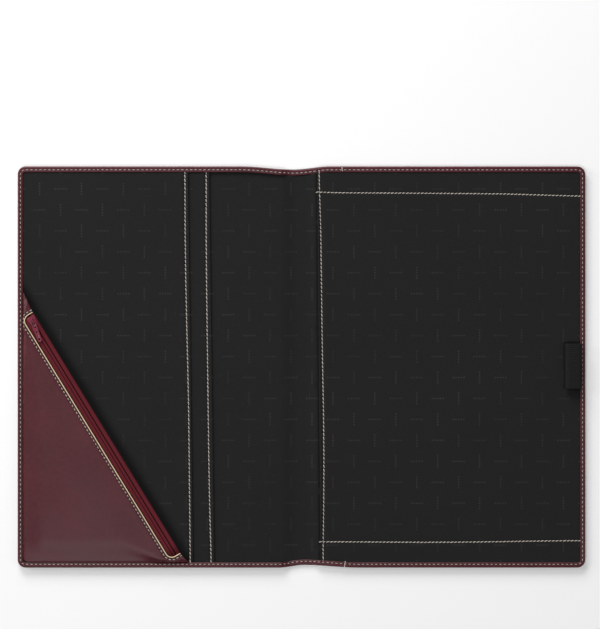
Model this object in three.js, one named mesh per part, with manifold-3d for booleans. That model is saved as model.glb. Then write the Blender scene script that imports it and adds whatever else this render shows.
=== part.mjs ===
// An A4 leather folio, lying open: a stitched leather cover in two stiff halves joined by a soft spine,
// two document pockets and a zipped corner pocket on the left, a writing-pad pocket and a pen loop on the right.
// Millimetres. +X runs across the open folio to the right, +Y to its head, +Z up off the table.
// The origin is on the table, under the middle of the spine.

import * as THREE from "three";
import { mergeVertices } from "three/addons/utils/BufferGeometryUtils.js";
import Module from "manifold-3d";

const wasm = await Module();
wasm.setup();

// The cover.
const FOLIO_HEIGHT = 345;
const COVER_WIDTH = 233; // from the hinge line to the fore edge
const SPINE_WIDTH = 22; // between the two hinge lines
const CORNER_RADIUS = 7;
const LEATHER = 1.0;
const BOARD = 1.6; // stiffener inside each cover
const LINING = 0.4;
const HEM_WIDTH = 4.3; // leather turned in over the lining, all round
const HEM_LEATHER = 0.9;
const FOLD_RADIUS = 1.5; // of the turned edge, seen end-on
const HINGE_HEIGHT = LEATHER / 2; // the leather bends about its middle
const HINGE_PLAY = 0.05; // where the leather turns in itself at a hinge line
const LAYER_SETBACK = 2.4; // board, lining and hem from the hinge line, so that the spine can stand up

// The spine has no board, so its seam has drawn the head and the tail in.
const HEAD_DIP = { depth: 2.7, centre: -7.5, left: 45, right: 33 };
const TAIL_DIP = { depth: 2.3, centre: 2.7, left: 22, right: 47 };

// Flat pockets. Their free edges lean a little from head to tail.
const POCKET_CLOTH = 0.5;
const NARROW_POCKET_WIDTH = 149; // from the left fore edge
const WIDE_POCKET_WIDTH = 167.2;
const POCKET_LEAN = 2.2;
const PAD_POCKET_LEAN = 1.5; // the pad pocket is as wide as its cover, but for this lean

// The zipped corner pocket. Its zip runs parallel to the diagonal between its two tips, a little inside it.
const CORNER_POCKET_RISE = 234.6; // up the fore edge
const CORNER_POCKET_RUN = 143.7; // along the tail
const ZIP_SET_IN = 2.3; // zip edge inside the straight line from tip to tip
const POCKET_BACK = 0.35;
const POCKET_LEATHER = 0.8;
const POCKET_SHOULDER = 4; // width of the slope up from the hem
const LEATHER_BESIDE_ZIP = 1.3; // least width between the window and the fore edge's hem
const LEATHER_BELOW_ZIP = 11.9; // from the window to the pocket's lower tip, along the diagonal
const WINDOW_CORNER = 5.3;
const OUTER_TAPE_WIDTH = 3.4;
const TAPE_GAP = 1.0; // between the two tapes
const INNER_TAPE_WIDTH = 5.9; // what the window shows of it
const TAPE = 0.4;
const TAPE_TURNED_UNDER = 3; // tape and coil past each end of the window
const TAPE_SEAM = 3.2; // tape under the leather, beside the window
const PIPING_WIDTH = 0.9;
const PIPING_HEIGHT = 0.65;
const COIL_HEIGHT = 0.8;
const COIL_WIDTH = 1.9;
const COIL_TOOTH = 0.8;
const COIL_PITCH = 2.4;

// The slider and its pull.
const SLIDER_LENGTH = 9.5;
const SLIDER_WIDTH = 7.2;
const SLIDER_TAIL_WIDTH = 5.2;
const SLIDER_FOOT_WIDTH = 5.4;
const SLIDER_TOP_PLATE = 0.7;
const SLIDER_FOOT = 0.5;
const SLIDER_WEB = 0.5;
const SLIDER_WEB_LENGTH = 6;
const SLIDER_END_ROOM = 1.6;
const BAIL_LENGTH = 5.0;
const BAIL_WIDTH = 1.0;
const BAIL_STRAP = 0.6;
const PULL_THICKNESS = 1.0;
const PULL_LENGTH = 18.5; // from its pin to its tip
const PULL_WIDTH = 4.4;
const PULL_TIP_WIDTH = 3.6;
const PULL_SLOT_WIDTH = 2.3;
const PULL_SLOT_LENGTH = 6.0;
const PULL_TURN = THREE.MathUtils.degToRad(-11); // it lies a little askew, towards the leather
const PULL_HOLES = [
  { at: 9.6, radius: 0.7 },
  { at: 16.2, radius: 0.9 },
];

// The pen loop, elastic webbing at the right fore edge.
const LOOP_LENGTH = 38.7;
const LOOP_MIDDLE = 1.0; // along Y
const LOOP_WIDTH = 13.2;
const LOOP_WEBBING = 0.9;
const LOOP_HEIGHT = 6.4;

// Clearances.
const LAYER_GAP = 0.05; // between sheets that lie on each other
const FIT = 0.3; // between pieces that butt edge to edge
const RUNNING_FIT = 0.1; // slider on tape and coil

// Levels, from the table up.
const BOARD_LEVEL = LEATHER + LAYER_GAP;
const LINING_LEVEL = BOARD_LEVEL + BOARD + LAYER_GAP;
const WIDE_POCKET_LEVEL = LINING_LEVEL + LINING + LAYER_GAP;
const NARROW_POCKET_LEVEL = WIDE_POCKET_LEVEL + POCKET_CLOTH + LAYER_GAP;
const POCKET_BACK_LEVEL = NARROW_POCKET_LEVEL + POCKET_CLOTH + LAYER_GAP;
const FRONT_HEM_LEVEL = POCKET_BACK_LEVEL;
const BACK_HEM_LEVEL = NARROW_POCKET_LEVEL;
const SPINE_LINING_LEVEL = LEATHER + LAYER_GAP;
const SPINE_HEM_LEVEL = SPINE_LINING_LEVEL + LINING + LAYER_GAP;
const SLIDER_FOOT_LEVEL = POCKET_BACK_LEVEL + POCKET_BACK + RUNNING_FIT;
const COIL_LEVEL = SLIDER_FOOT_LEVEL + SLIDER_FOOT + RUNNING_FIT;
const TAPE_LEVEL = COIL_LEVEL + COIL_HEIGHT + LAYER_GAP;
const POCKET_TOP_LEVEL = TAPE_LEVEL + TAPE + LAYER_GAP;
const POCKET_RIM_LEVEL = POCKET_BACK_LEVEL + POCKET_BACK + LAYER_GAP;
const SLIDER_TOP_LEVEL = TAPE_LEVEL + TAPE + RUNNING_FIT;
const PIN_ROOM = (PULL_THICKNESS / 2) * Math.SQRT2 + RUNNING_FIT; // a square pin turns in this radius
const PULL_PIN_LEVEL = SLIDER_TOP_LEVEL + SLIDER_TOP_PLATE + PIN_ROOM;
const LOOP_LEVEL = WIDE_POCKET_LEVEL + POCKET_CLOTH + LAYER_GAP;

// Places that several pieces share.
const HINGE = SPINE_WIDTH / 2;
const FORE_EDGE = HINGE + COVER_WIDTH;
const HALF_HEIGHT = FOLIO_HEIGHT / 2;
const HEM_INNER_X = FORE_EDGE - HEM_WIDTH;
const HEM_INNER_Y = HALF_HEIGHT - HEM_WIDTH;
const LAYER_INSET = LEATHER + FIT; // sheets inside the turned edge
const FAR = FORE_EDGE + HALF_HEIGHT; // larger than anything here

// Zip coordinates: s along the diagonal from its upper tip, t inwards from the zip's edge, towards the corner.
const DIAGONAL_TOP = new THREE.Vector2(-HEM_INNER_X, -HEM_INNER_Y + CORNER_POCKET_RISE);
const DIAGONAL_FOOT = new THREE.Vector2(-HEM_INNER_X + CORNER_POCKET_RUN, -HEM_INNER_Y);
const DIAGONAL = DIAGONAL_FOOT.clone().sub(DIAGONAL_TOP);
const CHORD = DIAGONAL.length();
const ALONG = DIAGONAL.clone().normalize();
const INWARDS = new THREE.Vector2(ALONG.y, -ALONG.x);
const TEETH_LINE = OUTER_TAPE_WIDTH + TAPE_GAP / 2;
const WINDOW_DEPTH = OUTER_TAPE_WIDTH + TAPE_GAP + INNER_TAPE_WIDTH;
const WINDOW_MARGIN = PIPING_WIDTH + LAYER_GAP; // cut in the leather, round the window
const CUT_CORNER = WINDOW_CORNER + WINDOW_MARGIN;
// The window starts where its rounded corner leaves the least width of leather beside the hem.
const CORNER_REACH = CUT_CORNER - INWARDS.x * (ZIP_SET_IN + WINDOW_DEPTH + WINDOW_MARGIN - CUT_CORNER);
const WINDOW_START = WINDOW_MARGIN - CUT_CORNER + (FIT + LEATHER_BESIDE_ZIP + CORNER_REACH) / ALONG.x;
const WINDOW_END = CHORD - LEATHER_BELOW_ZIP;
const WINDOW_LENGTH = WINDOW_END - WINDOW_START;
const SLIDER_START = WINDOW_START + SLIDER_END_ROOM;

function zipPoint(s, t) {
  return DIAGONAL_TOP.clone()
    .addScaledVector(ALONG, s)
    .addScaledVector(INWARDS, ZIP_SET_IN + t);
}

const MATERIALS = {
  leather: new THREE.MeshStandardMaterial({ color: 0x54303a, roughness: 0.5, metalness: 0 }),
  board: new THREE.MeshStandardMaterial({ color: 0x8a7f70, roughness: 0.9, metalness: 0 }),
  cloth: new THREE.MeshStandardMaterial({ color: 0x272828, roughness: 0.95, metalness: 0 }),
  elastic: new THREE.MeshStandardMaterial({ color: 0x1f2020, roughness: 0.9, metalness: 0 }),
  tape: new THREE.MeshStandardMaterial({ color: 0x662329, roughness: 0.8, metalness: 0 }),
  coil: new THREE.MeshStandardMaterial({ color: 0x4a1a20, roughness: 0.6, metalness: 0 }),
  piping: new THREE.MeshStandardMaterial({ color: 0xcdbd98, roughness: 0.7, metalness: 0 }),
  enamel: new THREE.MeshStandardMaterial({ color: 0x6d2b3d, roughness: 0.35, metalness: 0.1 }),
};

// Solids.
function toSolid(geometry) {
  const bare = new THREE.BufferGeometry();
  bare.setAttribute("position", geometry.getAttribute("position"));
  if (geometry.index) bare.setIndex(geometry.index);
  const merged = mergeVertices(bare, 1e-4);
  return new wasm.Manifold(
    new wasm.Mesh({
      numProp: 3,
      vertProperties: new Float32Array(merged.attributes.position.array),
      triVerts: new Uint32Array(merged.index.array),
    }),
  );
}

function toGeometry(solid) {
  const { vertProperties, triVerts } = solid.getMesh();
  const geometry = new THREE.BufferGeometry();
  geometry.setAttribute("position", new THREE.BufferAttribute(vertProperties, 3));
  geometry.setIndex(new THREE.BufferAttribute(triVerts, 1));
  geometry.computeVertexNormals();
  return geometry;
}

function prism(points, bottom, top) {
  const geometry = new THREE.ExtrudeGeometry(new THREE.Shape(points), { depth: top - bottom, bevelEnabled: false });
  return toSolid(geometry.translate(0, 0, bottom));
}

function block(x0, x1, y0, y1, z0, z1) {
  const geometry = new THREE.BoxGeometry(x1 - x0, y1 - y0, z1 - z0);
  return toSolid(geometry.translate((x0 + x1) / 2, (y0 + y1) / 2, (z0 + z1) / 2));
}

function piece(name, solid, material) {
  const mesh = new THREE.Mesh(toGeometry(solid), material);
  mesh.name = name;
  return mesh;
}

// Outline of the whole open folio, a given distance inside its edge.
function dip({ depth, centre, left, right }, x) {
  const u = (x - centre) / (x < centre ? left : right);
  return Math.abs(u) < 1 ? depth * Math.cos((u * Math.PI) / 2) ** 2 : 0;
}

function cornerArc(cx, cy, radius, from) {
  const steps = 6;
  return Array.from({ length: steps + 1 }, (_, i) => {
    const angle = from + (i / steps) * (Math.PI / 2);
    return new THREE.Vector2(cx + radius * Math.cos(angle), cy + radius * Math.sin(angle));
  });
}

function dippedEdge(place, steps = 22) {
  const from = place.centre - place.left;
  const to = place.centre + place.right;
  return Array.from({ length: steps + 1 }, (_, i) => {
    const x = from + ((to - from) * i) / steps;
    return { x, drop: dip(place, x) };
  });
}

function folioOutline(inset) {
  const radius = Math.max(CORNER_RADIUS - inset, 1);
  const x = FORE_EDGE - inset - radius;
  const y = HALF_HEIGHT - inset - radius;
  const edge = HALF_HEIGHT - inset;
  const head = dippedEdge(HEAD_DIP).map(({ x, drop }) => new THREE.Vector2(x, edge - drop));
  const tail = dippedEdge(TAIL_DIP).map(({ x, drop }) => new THREE.Vector2(x, drop - edge));
  return [
    ...tail,
    ...cornerArc(x, -y, radius, -Math.PI / 2),
    ...cornerArc(x, y, radius, 0),
    ...head.reverse(),
    ...cornerArc(-x, y, radius, Math.PI / 2),
    ...cornerArc(-x, -y, radius, Math.PI),
  ];
}

// A sheet of the folio's outline between two X limits.
function sheet(inset, bottom, thickness, from, to) {
  const whole = prism(folioOutline(inset), bottom, bottom + thickness);
  return whole.intersect(block(from, to, -FAR, FAR, bottom - 1, bottom + thickness + 1));
}

// Outer leather with its edge turned in: a tray whose hem lies over the sheets.
function turnedLeather(hemLevel, baseLimits, hemFrom, hemTo) {
  const height = hemLevel + HEM_LEATHER;
  const fold = Math.min(FOLD_RADIUS, height / 2 - 0.1);
  const rounded = new THREE.ExtrudeGeometry(new THREE.Shape(folioOutline(fold)), {
    depth: height - 2 * fold,
    bevelEnabled: true,
    bevelSize: fold,
    bevelThickness: fold,
    bevelSegments: 3,
  });
  const blank = toSolid(rounded.translate(0, 0, fold));
  const pocket = prism(folioOutline(LEATHER), LEATHER, hemLevel);
  const window = prism(folioOutline(HEM_WIDTH), LEATHER, height + 1);
  const tray = blank.subtract(pocket).subtract(window);
  const base = tray.intersect(baseLimits).intersect(block(-FAR, FAR, -FAR, FAR, -1, LEATHER));
  const hem = tray.intersect(block(hemFrom, hemTo, -FAR, FAR, -1, height + 1));
  return base.add(hem);
}

// Free edge of a flat pocket, leaning from head to tail, as a cutting block on one side.
function leaningCut(x, lean, side) {
  const slope = lean / HALF_HEIGHT;
  const far = side * FAR;
  const corners = [
    new THREE.Vector2(x - slope * FAR, FAR),
    new THREE.Vector2(x + slope * FAR, -FAR),
    new THREE.Vector2(x + far, -FAR),
    new THREE.Vector2(x + far, FAR),
  ];
  return prism(side > 0 ? corners : corners.reverse(), -1, FAR);
}

// Round rod along a hinge line, as a cutting shape.
function hingeRod(x, radius) {
  const rod = new THREE.CylinderGeometry(radius, radius, 2 * FAR, 24);
  return toSolid(rod.translate(x, 0, HINGE_HEIGHT));
}

// A cover's leather ends in a half round on its hinge line.
function coverLimits(side) {
  const from = side > 0 ? HINGE : -FAR;
  const to = side > 0 ? FAR : -HINGE;
  return block(from, to, -FAR, FAR, -1, LEATHER).add(hingeRod(side * HINGE, LEATHER / 2));
}

// The spine's leather is hollowed to take it below the hinge line, and stays clear of it above.
function spineLimits() {
  const clear = LEATHER / 2 + HINGE_PLAY;
  const lower = block(-HINGE, HINGE, -FAR, FAR, -1, HINGE_HEIGHT)
    .subtract(hingeRod(HINGE, clear))
    .subtract(hingeRod(-HINGE, clear));
  return lower.add(block(-HINGE + clear, HINGE - clear, -FAR, FAR, -1, LEATHER));
}

function coverPieces() {
  const farLeft = -FAR;
  const farRight = FAR;
  const layerEnd = HINGE + LAYER_SETBACK;
  const spineEnd = HINGE - LEATHER / 2 - HINGE_PLAY;
  const frontPanel = (level, x) =>
    sheet(LAYER_INSET, level, POCKET_CLOTH, farLeft, -layerEnd).subtract(leaningCut(x, POCKET_LEAN, 1));
  const padPanel = sheet(LAYER_INSET, WIDE_POCKET_LEVEL, POCKET_CLOTH, layerEnd, farRight).subtract(
    leaningCut(layerEnd + PAD_POCKET_LEAN, PAD_POCKET_LEAN, -1),
  );
  const front = [
    piece("front_leather", turnedLeather(FRONT_HEM_LEVEL, coverLimits(-1), farLeft, -layerEnd), MATERIALS.leather),
    piece("front_board", sheet(LAYER_INSET, BOARD_LEVEL, BOARD, farLeft, -layerEnd), MATERIALS.board),
    piece("front_lining", sheet(LAYER_INSET, LINING_LEVEL, LINING, farLeft, -layerEnd), MATERIALS.cloth),
    piece("wide_pocket_panel", frontPanel(WIDE_POCKET_LEVEL, WIDE_POCKET_WIDTH - FORE_EDGE), MATERIALS.cloth),
    piece("narrow_pocket_panel", frontPanel(NARROW_POCKET_LEVEL, NARROW_POCKET_WIDTH - FORE_EDGE), MATERIALS.cloth),
  ];
  const spine = [
    piece("spine_leather", turnedLeather(SPINE_HEM_LEVEL, spineLimits(), -spineEnd, spineEnd), MATERIALS.leather),
    piece("spine_lining", sheet(LAYER_INSET, SPINE_LINING_LEVEL, LINING, -spineEnd, spineEnd), MATERIALS.cloth),
  ];
  const back = [
    piece("back_leather", turnedLeather(BACK_HEM_LEVEL, coverLimits(1), layerEnd, farRight), MATERIALS.leather),
    piece("back_board", sheet(LAYER_INSET, BOARD_LEVEL, BOARD, layerEnd, farRight), MATERIALS.board),
    piece("back_lining", sheet(LAYER_INSET, LINING_LEVEL, LINING, layerEnd, farRight), MATERIALS.cloth),
    piece("pad_pocket_panel", padPanel, MATERIALS.cloth),
  ];
  return { front, spine, back };
}

// Strip between two offsets from the zip's edge, from s0 to s1.
function zipBand(s0, s1, t0, t1) {
  return [zipPoint(s0, t1), zipPoint(s1, t1), zipPoint(s1, t0), zipPoint(s0, t0)];
}

// The zip window, grown by a margin, open on the diagonal's side and rounded at its two inner corners.
function zipWindow(margin) {
  const radius = WINDOW_CORNER + margin;
  const depth = WINDOW_DEPTH + margin;
  const start = WINDOW_START - margin;
  const end = WINDOW_END + margin;
  const open = -2 * ZIP_SET_IN;
  const quarter = (s, sign) =>
    Array.from({ length: 9 }, (_, i) => {
      const angle = (i / 8) * (Math.PI / 2);
      return zipPoint(s + sign * radius * (1 - Math.sin(angle)), depth - radius + radius * Math.cos(angle));
    });
  return [
    zipPoint(start, open),
    ...quarter(start, 1).reverse(),
    ...quarter(end, -1),
    zipPoint(end, open),
  ];
}

// The corner inside the hem and behind the diagonal edge, less a margin at the hem.
function cornerOutline(margin) {
  const upper = zipPoint(WINDOW_START, 0);
  const lower = zipPoint(WINDOW_END, 0);
  const tip = DIAGONAL_TOP.clone().lerp(upper, margin / (upper.x - DIAGONAL_TOP.x));
  const foot = DIAGONAL_FOOT.clone().lerp(lower, margin / (lower.y - DIAGONAL_FOOT.y));
  return [tip, new THREE.Vector2(tip.x, foot.y), foot, lower, upper];
}

// The corner between two levels, rounded like the hem's own inner corner.
function cornerPrism(bottom, top) {
  const inside = prism(folioOutline(HEM_WIDTH + FIT), bottom, top);
  return prism(cornerOutline(FIT), bottom, top).intersect(inside);
}

// The corner pocket's leather: it climbs from the hem over a narrow shoulder, then lies flat on the zip.
function pocketHeight(x, y) {
  const climb = (d) => THREE.MathUtils.smoothstep(d, 0, POCKET_SHOULDER);
  const share = climb(x + HEM_INNER_X) * climb(y + HEM_INNER_Y);
  return POCKET_RIM_LEVEL + (POCKET_TOP_LEVEL - POCKET_RIM_LEVEL) * share;
}

function pocketLeather() {
  const rim = [0, 0.3, 0.55, 0.8, 1].map((k) => k * POCKET_SHOULDER);
  const xs = [-1, ...rim, CORNER_POCKET_RUN / 2, CORNER_POCKET_RUN + 1].map((d) => d - HEM_INNER_X);
  const ys = [-1, ...rim, CORNER_POCKET_RISE / 2, CORNER_POCKET_RISE + 1].map((d) => d - HEM_INNER_Y);
  const nx = xs.length;
  const ny = ys.length;
  const positions = [];
  for (const lift of [0, POCKET_LEATHER])
    for (const y of ys) for (const x of xs) positions.push(x, y, pocketHeight(x, y) + lift);
  const at = (layer, i, j) => layer * nx * ny + j * nx + i;
  const index = [];
  const quad = (a, b, c, d) => index.push(a, b, c, a, c, d);
  for (let j = 0; j < ny - 1; j++)
    for (let i = 0; i < nx - 1; i++) {
      quad(at(1, i, j), at(1, i + 1, j), at(1, i + 1, j + 1), at(1, i, j + 1));
      quad(at(0, i, j), at(0, i, j + 1), at(0, i + 1, j + 1), at(0, i + 1, j));
    }
  for (let i = 0; i < nx - 1; i++) {
    quad(at(0, i, 0), at(0, i + 1, 0), at(1, i + 1, 0), at(1, i, 0));
    quad(at(0, i + 1, ny - 1), at(0, i, ny - 1), at(1, i, ny - 1), at(1, i + 1, ny - 1));
  }
  for (let j = 0; j < ny - 1; j++) {
    quad(at(0, 0, j + 1), at(0, 0, j), at(1, 0, j), at(1, 0, j + 1));
    quad(at(0, nx - 1, j), at(0, nx - 1, j + 1), at(1, nx - 1, j + 1), at(1, nx - 1, j));
  }
  const geometry = new THREE.BufferGeometry();
  geometry.setAttribute("position", new THREE.Float32BufferAttribute(positions, 3));
  geometry.setIndex(index);
  const top = POCKET_TOP_LEVEL + POCKET_LEATHER + 1;
  return toSolid(geometry)
    .intersect(cornerPrism(0, top))
    .subtract(prism(zipWindow(WINDOW_MARGIN), 0, top));
}

// Where the pocket leather lies at its full height, so that tape fits under it.
function underPocketLeather() {
  const margin = POCKET_SHOULDER + FIT;
  return block(-HEM_INNER_X + margin, FAR, -HEM_INNER_Y + margin, FAR, 0, FAR);
}

function innerTape() {
  const inner = OUTER_TAPE_WIDTH + TAPE_GAP;
  const band = zipBand(
    WINDOW_START - TAPE_TURNED_UNDER,
    WINDOW_END + TAPE_TURNED_UNDER,
    inner,
    WINDOW_DEPTH + TAPE_SEAM,
  );
  return prism(band, TAPE_LEVEL, TAPE_LEVEL + TAPE).intersect(underPocketLeather());
}

// The outer tape is folded down over the pocket's edge and sewn to the pocket's back.
function outerTape() {
  const start = WINDOW_START - TAPE_TURNED_UNDER;
  const end = WINDOW_END + TAPE_TURNED_UNDER;
  const top = prism(zipBand(start, end, LAYER_GAP, OUTER_TAPE_WIDTH), TAPE_LEVEL, TAPE_LEVEL + TAPE);
  const fold = prism(zipBand(start, end, LAYER_GAP, LAYER_GAP + TAPE), POCKET_RIM_LEVEL, TAPE_LEVEL + TAPE);
  return top.add(fold);
}

// One side's coil: a spine along the tape with teeth towards the other side.
function coil(side) {
  const root = TEETH_LINE + side * (TAPE_GAP / 2 - LAYER_GAP + COIL_WIDTH);
  const gum = TEETH_LINE + side * (TAPE_GAP / 2 - LAYER_GAP + COIL_TOOTH);
  const tip = TEETH_LINE + side * (TAPE_GAP / 2 - LAYER_GAP);
  const start = WINDOW_START - TAPE_TURNED_UNDER;
  const length = WINDOW_LENGTH + 2 * TAPE_TURNED_UNDER;
  const count = Math.floor(length / COIL_PITCH) - 1;
  const phase = side > 0 ? 0 : COIL_PITCH / 2;
  const teeth = [];
  for (let i = 0; i < count; i++) {
    const s = start + phase + i * COIL_PITCH;
    for (const [share, depth] of [
      [0.2, gum],
      [0.35, tip],
      [0.65, tip],
      [0.8, gum],
    ])
      teeth.push(zipPoint(s + share * COIL_PITCH, depth));
  }
  const outline = [zipPoint(start, gum), ...teeth, zipPoint(start + length, gum)];
  outline.push(zipPoint(start + length, root), zipPoint(start, root));
  return prism(outline, COIL_LEVEL, COIL_LEVEL + COIL_HEIGHT);
}

function piping() {
  const strip = prism(zipWindow(PIPING_WIDTH), POCKET_TOP_LEVEL, POCKET_TOP_LEVEL + PIPING_HEIGHT);
  return strip
    .subtract(prism(zipWindow(0), 0, FAR))
    .intersect(prism(zipBand(0, CHORD, LAYER_GAP, 2 * WINDOW_DEPTH), 0, FAR));
}

function cornerPocketPieces() {
  const back = cornerPrism(POCKET_BACK_LEVEL, POCKET_BACK_LEVEL + POCKET_BACK);
  return [
    piece("corner_pocket_back", back, MATERIALS.cloth),
    piece("corner_pocket_leather", pocketLeather(), MATERIALS.leather),
    piece("corner_pocket_piping", piping(), MATERIALS.piping),
    piece("zip_inner_tape", innerTape(), MATERIALS.tape),
    piece("zip_outer_tape", outerTape(), MATERIALS.tape),
    piece("zip_inner_coil", coil(1), MATERIALS.coil),
    piece("zip_outer_coil", coil(-1), MATERIALS.coil),
  ];
}

// A frame on the teeth line: x along the zip towards its open end, y towards the spine, z up.
function zipFrame(s) {
  const here = zipPoint(s, TEETH_LINE);
  const frame = new THREE.Group();
  frame.position.set(here.x, here.y, 0);
  frame.rotation.z = ALONG.angle();
  return frame;
}

// Slider: a tapered top plate with a bail, a foot under the coil, and a thin web between the two tapes.
function slider() {
  const half = SLIDER_LENGTH / 2;
  const round = 1.6;
  const outline = new THREE.Shape();
  outline.moveTo(-half + round, -SLIDER_WIDTH / 2);
  outline.lineTo(half - round, -SLIDER_TAIL_WIDTH / 2);
  outline.quadraticCurveTo(half, -SLIDER_TAIL_WIDTH / 2, half, -SLIDER_TAIL_WIDTH / 2 + round);
  outline.lineTo(half, SLIDER_TAIL_WIDTH / 2 - round);
  outline.quadraticCurveTo(half, SLIDER_TAIL_WIDTH / 2, half - round, SLIDER_TAIL_WIDTH / 2);
  outline.lineTo(-half + round, SLIDER_WIDTH / 2);
  outline.quadraticCurveTo(-half, SLIDER_WIDTH / 2, -half, SLIDER_WIDTH / 2 - round);
  outline.lineTo(-half, -SLIDER_WIDTH / 2 + round);
  outline.quadraticCurveTo(-half, -SLIDER_WIDTH / 2, -half + round, -SLIDER_WIDTH / 2);
  const plate = new THREE.ExtrudeGeometry(outline, {
    depth: SLIDER_TOP_PLATE,
    bevelEnabled: false,
    curveSegments: 4,
  });
  const topPlate = toSolid(plate.translate(0, 0, SLIDER_TOP_LEVEL));
  const footHalf = SLIDER_FOOT_WIDTH / 2;
  const foot = block(-half + 1, half - 1, -footHalf, footHalf, SLIDER_FOOT_LEVEL, SLIDER_FOOT_LEVEL + SLIDER_FOOT);
  const web = block(
    -SLIDER_WEB_LENGTH / 2,
    SLIDER_WEB_LENGTH / 2,
    -SLIDER_WEB / 2,
    SLIDER_WEB / 2,
    SLIDER_FOOT_LEVEL + SLIDER_FOOT / 2,
    SLIDER_TOP_LEVEL + SLIDER_TOP_PLATE / 2,
  );
  return topPlate.add(foot).add(web).add(bail());
}

// The bail is a strap arched over the pull's pin.
function bail() {
  const base = SLIDER_TOP_LEVEL + SLIDER_TOP_PLATE;
  const inner = PULL_PIN_LEVEL + PIN_ROOM;
  const outer = inner + BAIL_STRAP;
  const half = BAIL_LENGTH / 2;
  const shape = new THREE.Shape();
  shape.moveTo(-half, base - SLIDER_TOP_PLATE / 2);
  shape.lineTo(-half + BAIL_STRAP, base - SLIDER_TOP_PLATE / 2);
  shape.lineTo(-half + BAIL_STRAP, inner - 0.6);
  shape.quadraticCurveTo(-half + BAIL_STRAP, inner, -half + BAIL_STRAP + 0.6, inner);
  shape.lineTo(half - BAIL_STRAP - 0.6, inner);
  shape.quadraticCurveTo(half - BAIL_STRAP, inner, half - BAIL_STRAP, inner - 0.6);
  shape.lineTo(half - BAIL_STRAP, base - SLIDER_TOP_PLATE / 2);
  shape.lineTo(half, base - SLIDER_TOP_PLATE / 2);
  shape.lineTo(half, inner - 0.4);
  shape.quadraticCurveTo(half, outer, half - 1, outer);
  shape.lineTo(-half + 1, outer);
  shape.quadraticCurveTo(-half, outer, -half, inner - 0.4);
  const geometry = new THREE.ExtrudeGeometry(shape, { depth: BAIL_WIDTH, bevelEnabled: false, curveSegments: 4 });
  // The shape's Y becomes Z, and its depth runs across the slider.
  return toSolid(geometry.rotateX(Math.PI / 2).translate(0, BAIL_WIDTH / 2, 0));
}

// Pull: a flat tab with a slot round the bail, and two small holes. Its pin end is at its own origin.
function pull() {
  const shape = new THREE.Shape();
  const pin = PULL_THICKNESS / 2;
  const wide = PULL_WIDTH / 2;
  const tip = PULL_TIP_WIDTH / 2;
  shape.moveTo(-pin, -wide);
  shape.lineTo(PULL_SLOT_LENGTH + 1.5, -wide);
  shape.lineTo(PULL_SLOT_LENGTH + 3.5, -tip);
  shape.lineTo(PULL_LENGTH - tip, -tip);
  shape.absarc(PULL_LENGTH - tip, 0, tip, -Math.PI / 2, Math.PI / 2, false);
  shape.lineTo(PULL_SLOT_LENGTH + 3.5, tip);
  shape.lineTo(PULL_SLOT_LENGTH + 1.5, wide);
  shape.lineTo(-pin, wide);
  const slot = new THREE.Path();
  const slotHalf = PULL_SLOT_WIDTH / 2;
  slot.moveTo(pin, -slotHalf);
  slot.lineTo(pin, slotHalf);
  slot.lineTo(PULL_SLOT_LENGTH - slotHalf, slotHalf);
  slot.absarc(PULL_SLOT_LENGTH - slotHalf, 0, slotHalf, Math.PI / 2, -Math.PI / 2, true);
  shape.holes.push(slot);
  for (const { at, radius } of PULL_HOLES) {
    const hole = new THREE.Path();
    hole.absarc(at, 0, radius, 0, 2 * Math.PI, true);
    shape.holes.push(hole);
  }
  const geometry = new THREE.ExtrudeGeometry(shape, { depth: PULL_THICKNESS, bevelEnabled: false, curveSegments: 5 });
  return toSolid(geometry.translate(0, 0, -PULL_THICKNESS / 2));
}

function sliderGroup() {
  const frame = zipFrame(SLIDER_START + SLIDER_LENGTH / 2);
  const tab = piece("zip_pull", pull(), MATERIALS.enamel);
  tab.position.z = PULL_PIN_LEVEL;
  tab.rotation.z = PULL_TURN;
  frame.add(piece("zip_slider", slider(), MATERIALS.enamel), tab);
  return frame;
}

// Pen loop: webbing sewn in under the hem, bent back over itself in a flat tube that runs along Y.
function penLoop() {
  const right = LOOP_WIDTH;
  const high = LOOP_HEIGHT;
  const tail = 2 * LOOP_WEBBING;
  const rim = (inset) => {
    const radius = high / 2 - inset;
    const points = [];
    for (let i = 0; i <= 8; i++) {
      const angle = Math.PI / 2 + (i / 8) * Math.PI;
      points.push([high / 2 + radius * Math.cos(angle), high / 2 + radius * Math.sin(angle)]);
    }
    return points;
  };
  const outside = new THREE.Shape([
    ...rim(0).map(([x, z]) => new THREE.Vector2(x, z)),
    new THREE.Vector2(right, 0),
    new THREE.Vector2(right, tail),
    new THREE.Vector2(right - 1, tail + 0.3),
    new THREE.Vector2(right - 3.2, high - 0.8),
    new THREE.Vector2(right - 4.4, high),
  ]);
  const inside = [
    ...rim(LOOP_WEBBING).map(([x, z]) => new THREE.Vector2(x, z)),
    new THREE.Vector2(right - 2.2, LOOP_WEBBING),
    new THREE.Vector2(right - 3.9, high - LOOP_WEBBING - 0.6),
    new THREE.Vector2(right - 4.7, high - LOOP_WEBBING),
  ];
  outside.holes.push(new THREE.Path(inside.reverse()));
  const geometry = new THREE.ExtrudeGeometry(outside, { depth: LOOP_LENGTH, bevelEnabled: false });
  geometry.rotateX(Math.PI / 2).translate(0, LOOP_LENGTH / 2, 0);
  const loop = piece("pen_loop", toSolid(geometry), MATERIALS.elastic);
  loop.position.set(HEM_INNER_X - FIT - LOOP_WIDTH, LOOP_MIDDLE, LOOP_LEVEL);
  return loop;
}

const { front, spine, back } = coverPieces();

const frontCover = new THREE.Group();
frontCover.add(...front, ...cornerPocketPieces(), sliderGroup());

const spineStrip = new THREE.Group();
spineStrip.add(...spine);

const backCover = new THREE.Group();
backCover.add(...back, penLoop());

const folio = new THREE.Group();
folio.add(backCover, spineStrip, frontCover);

export default folio;
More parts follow.
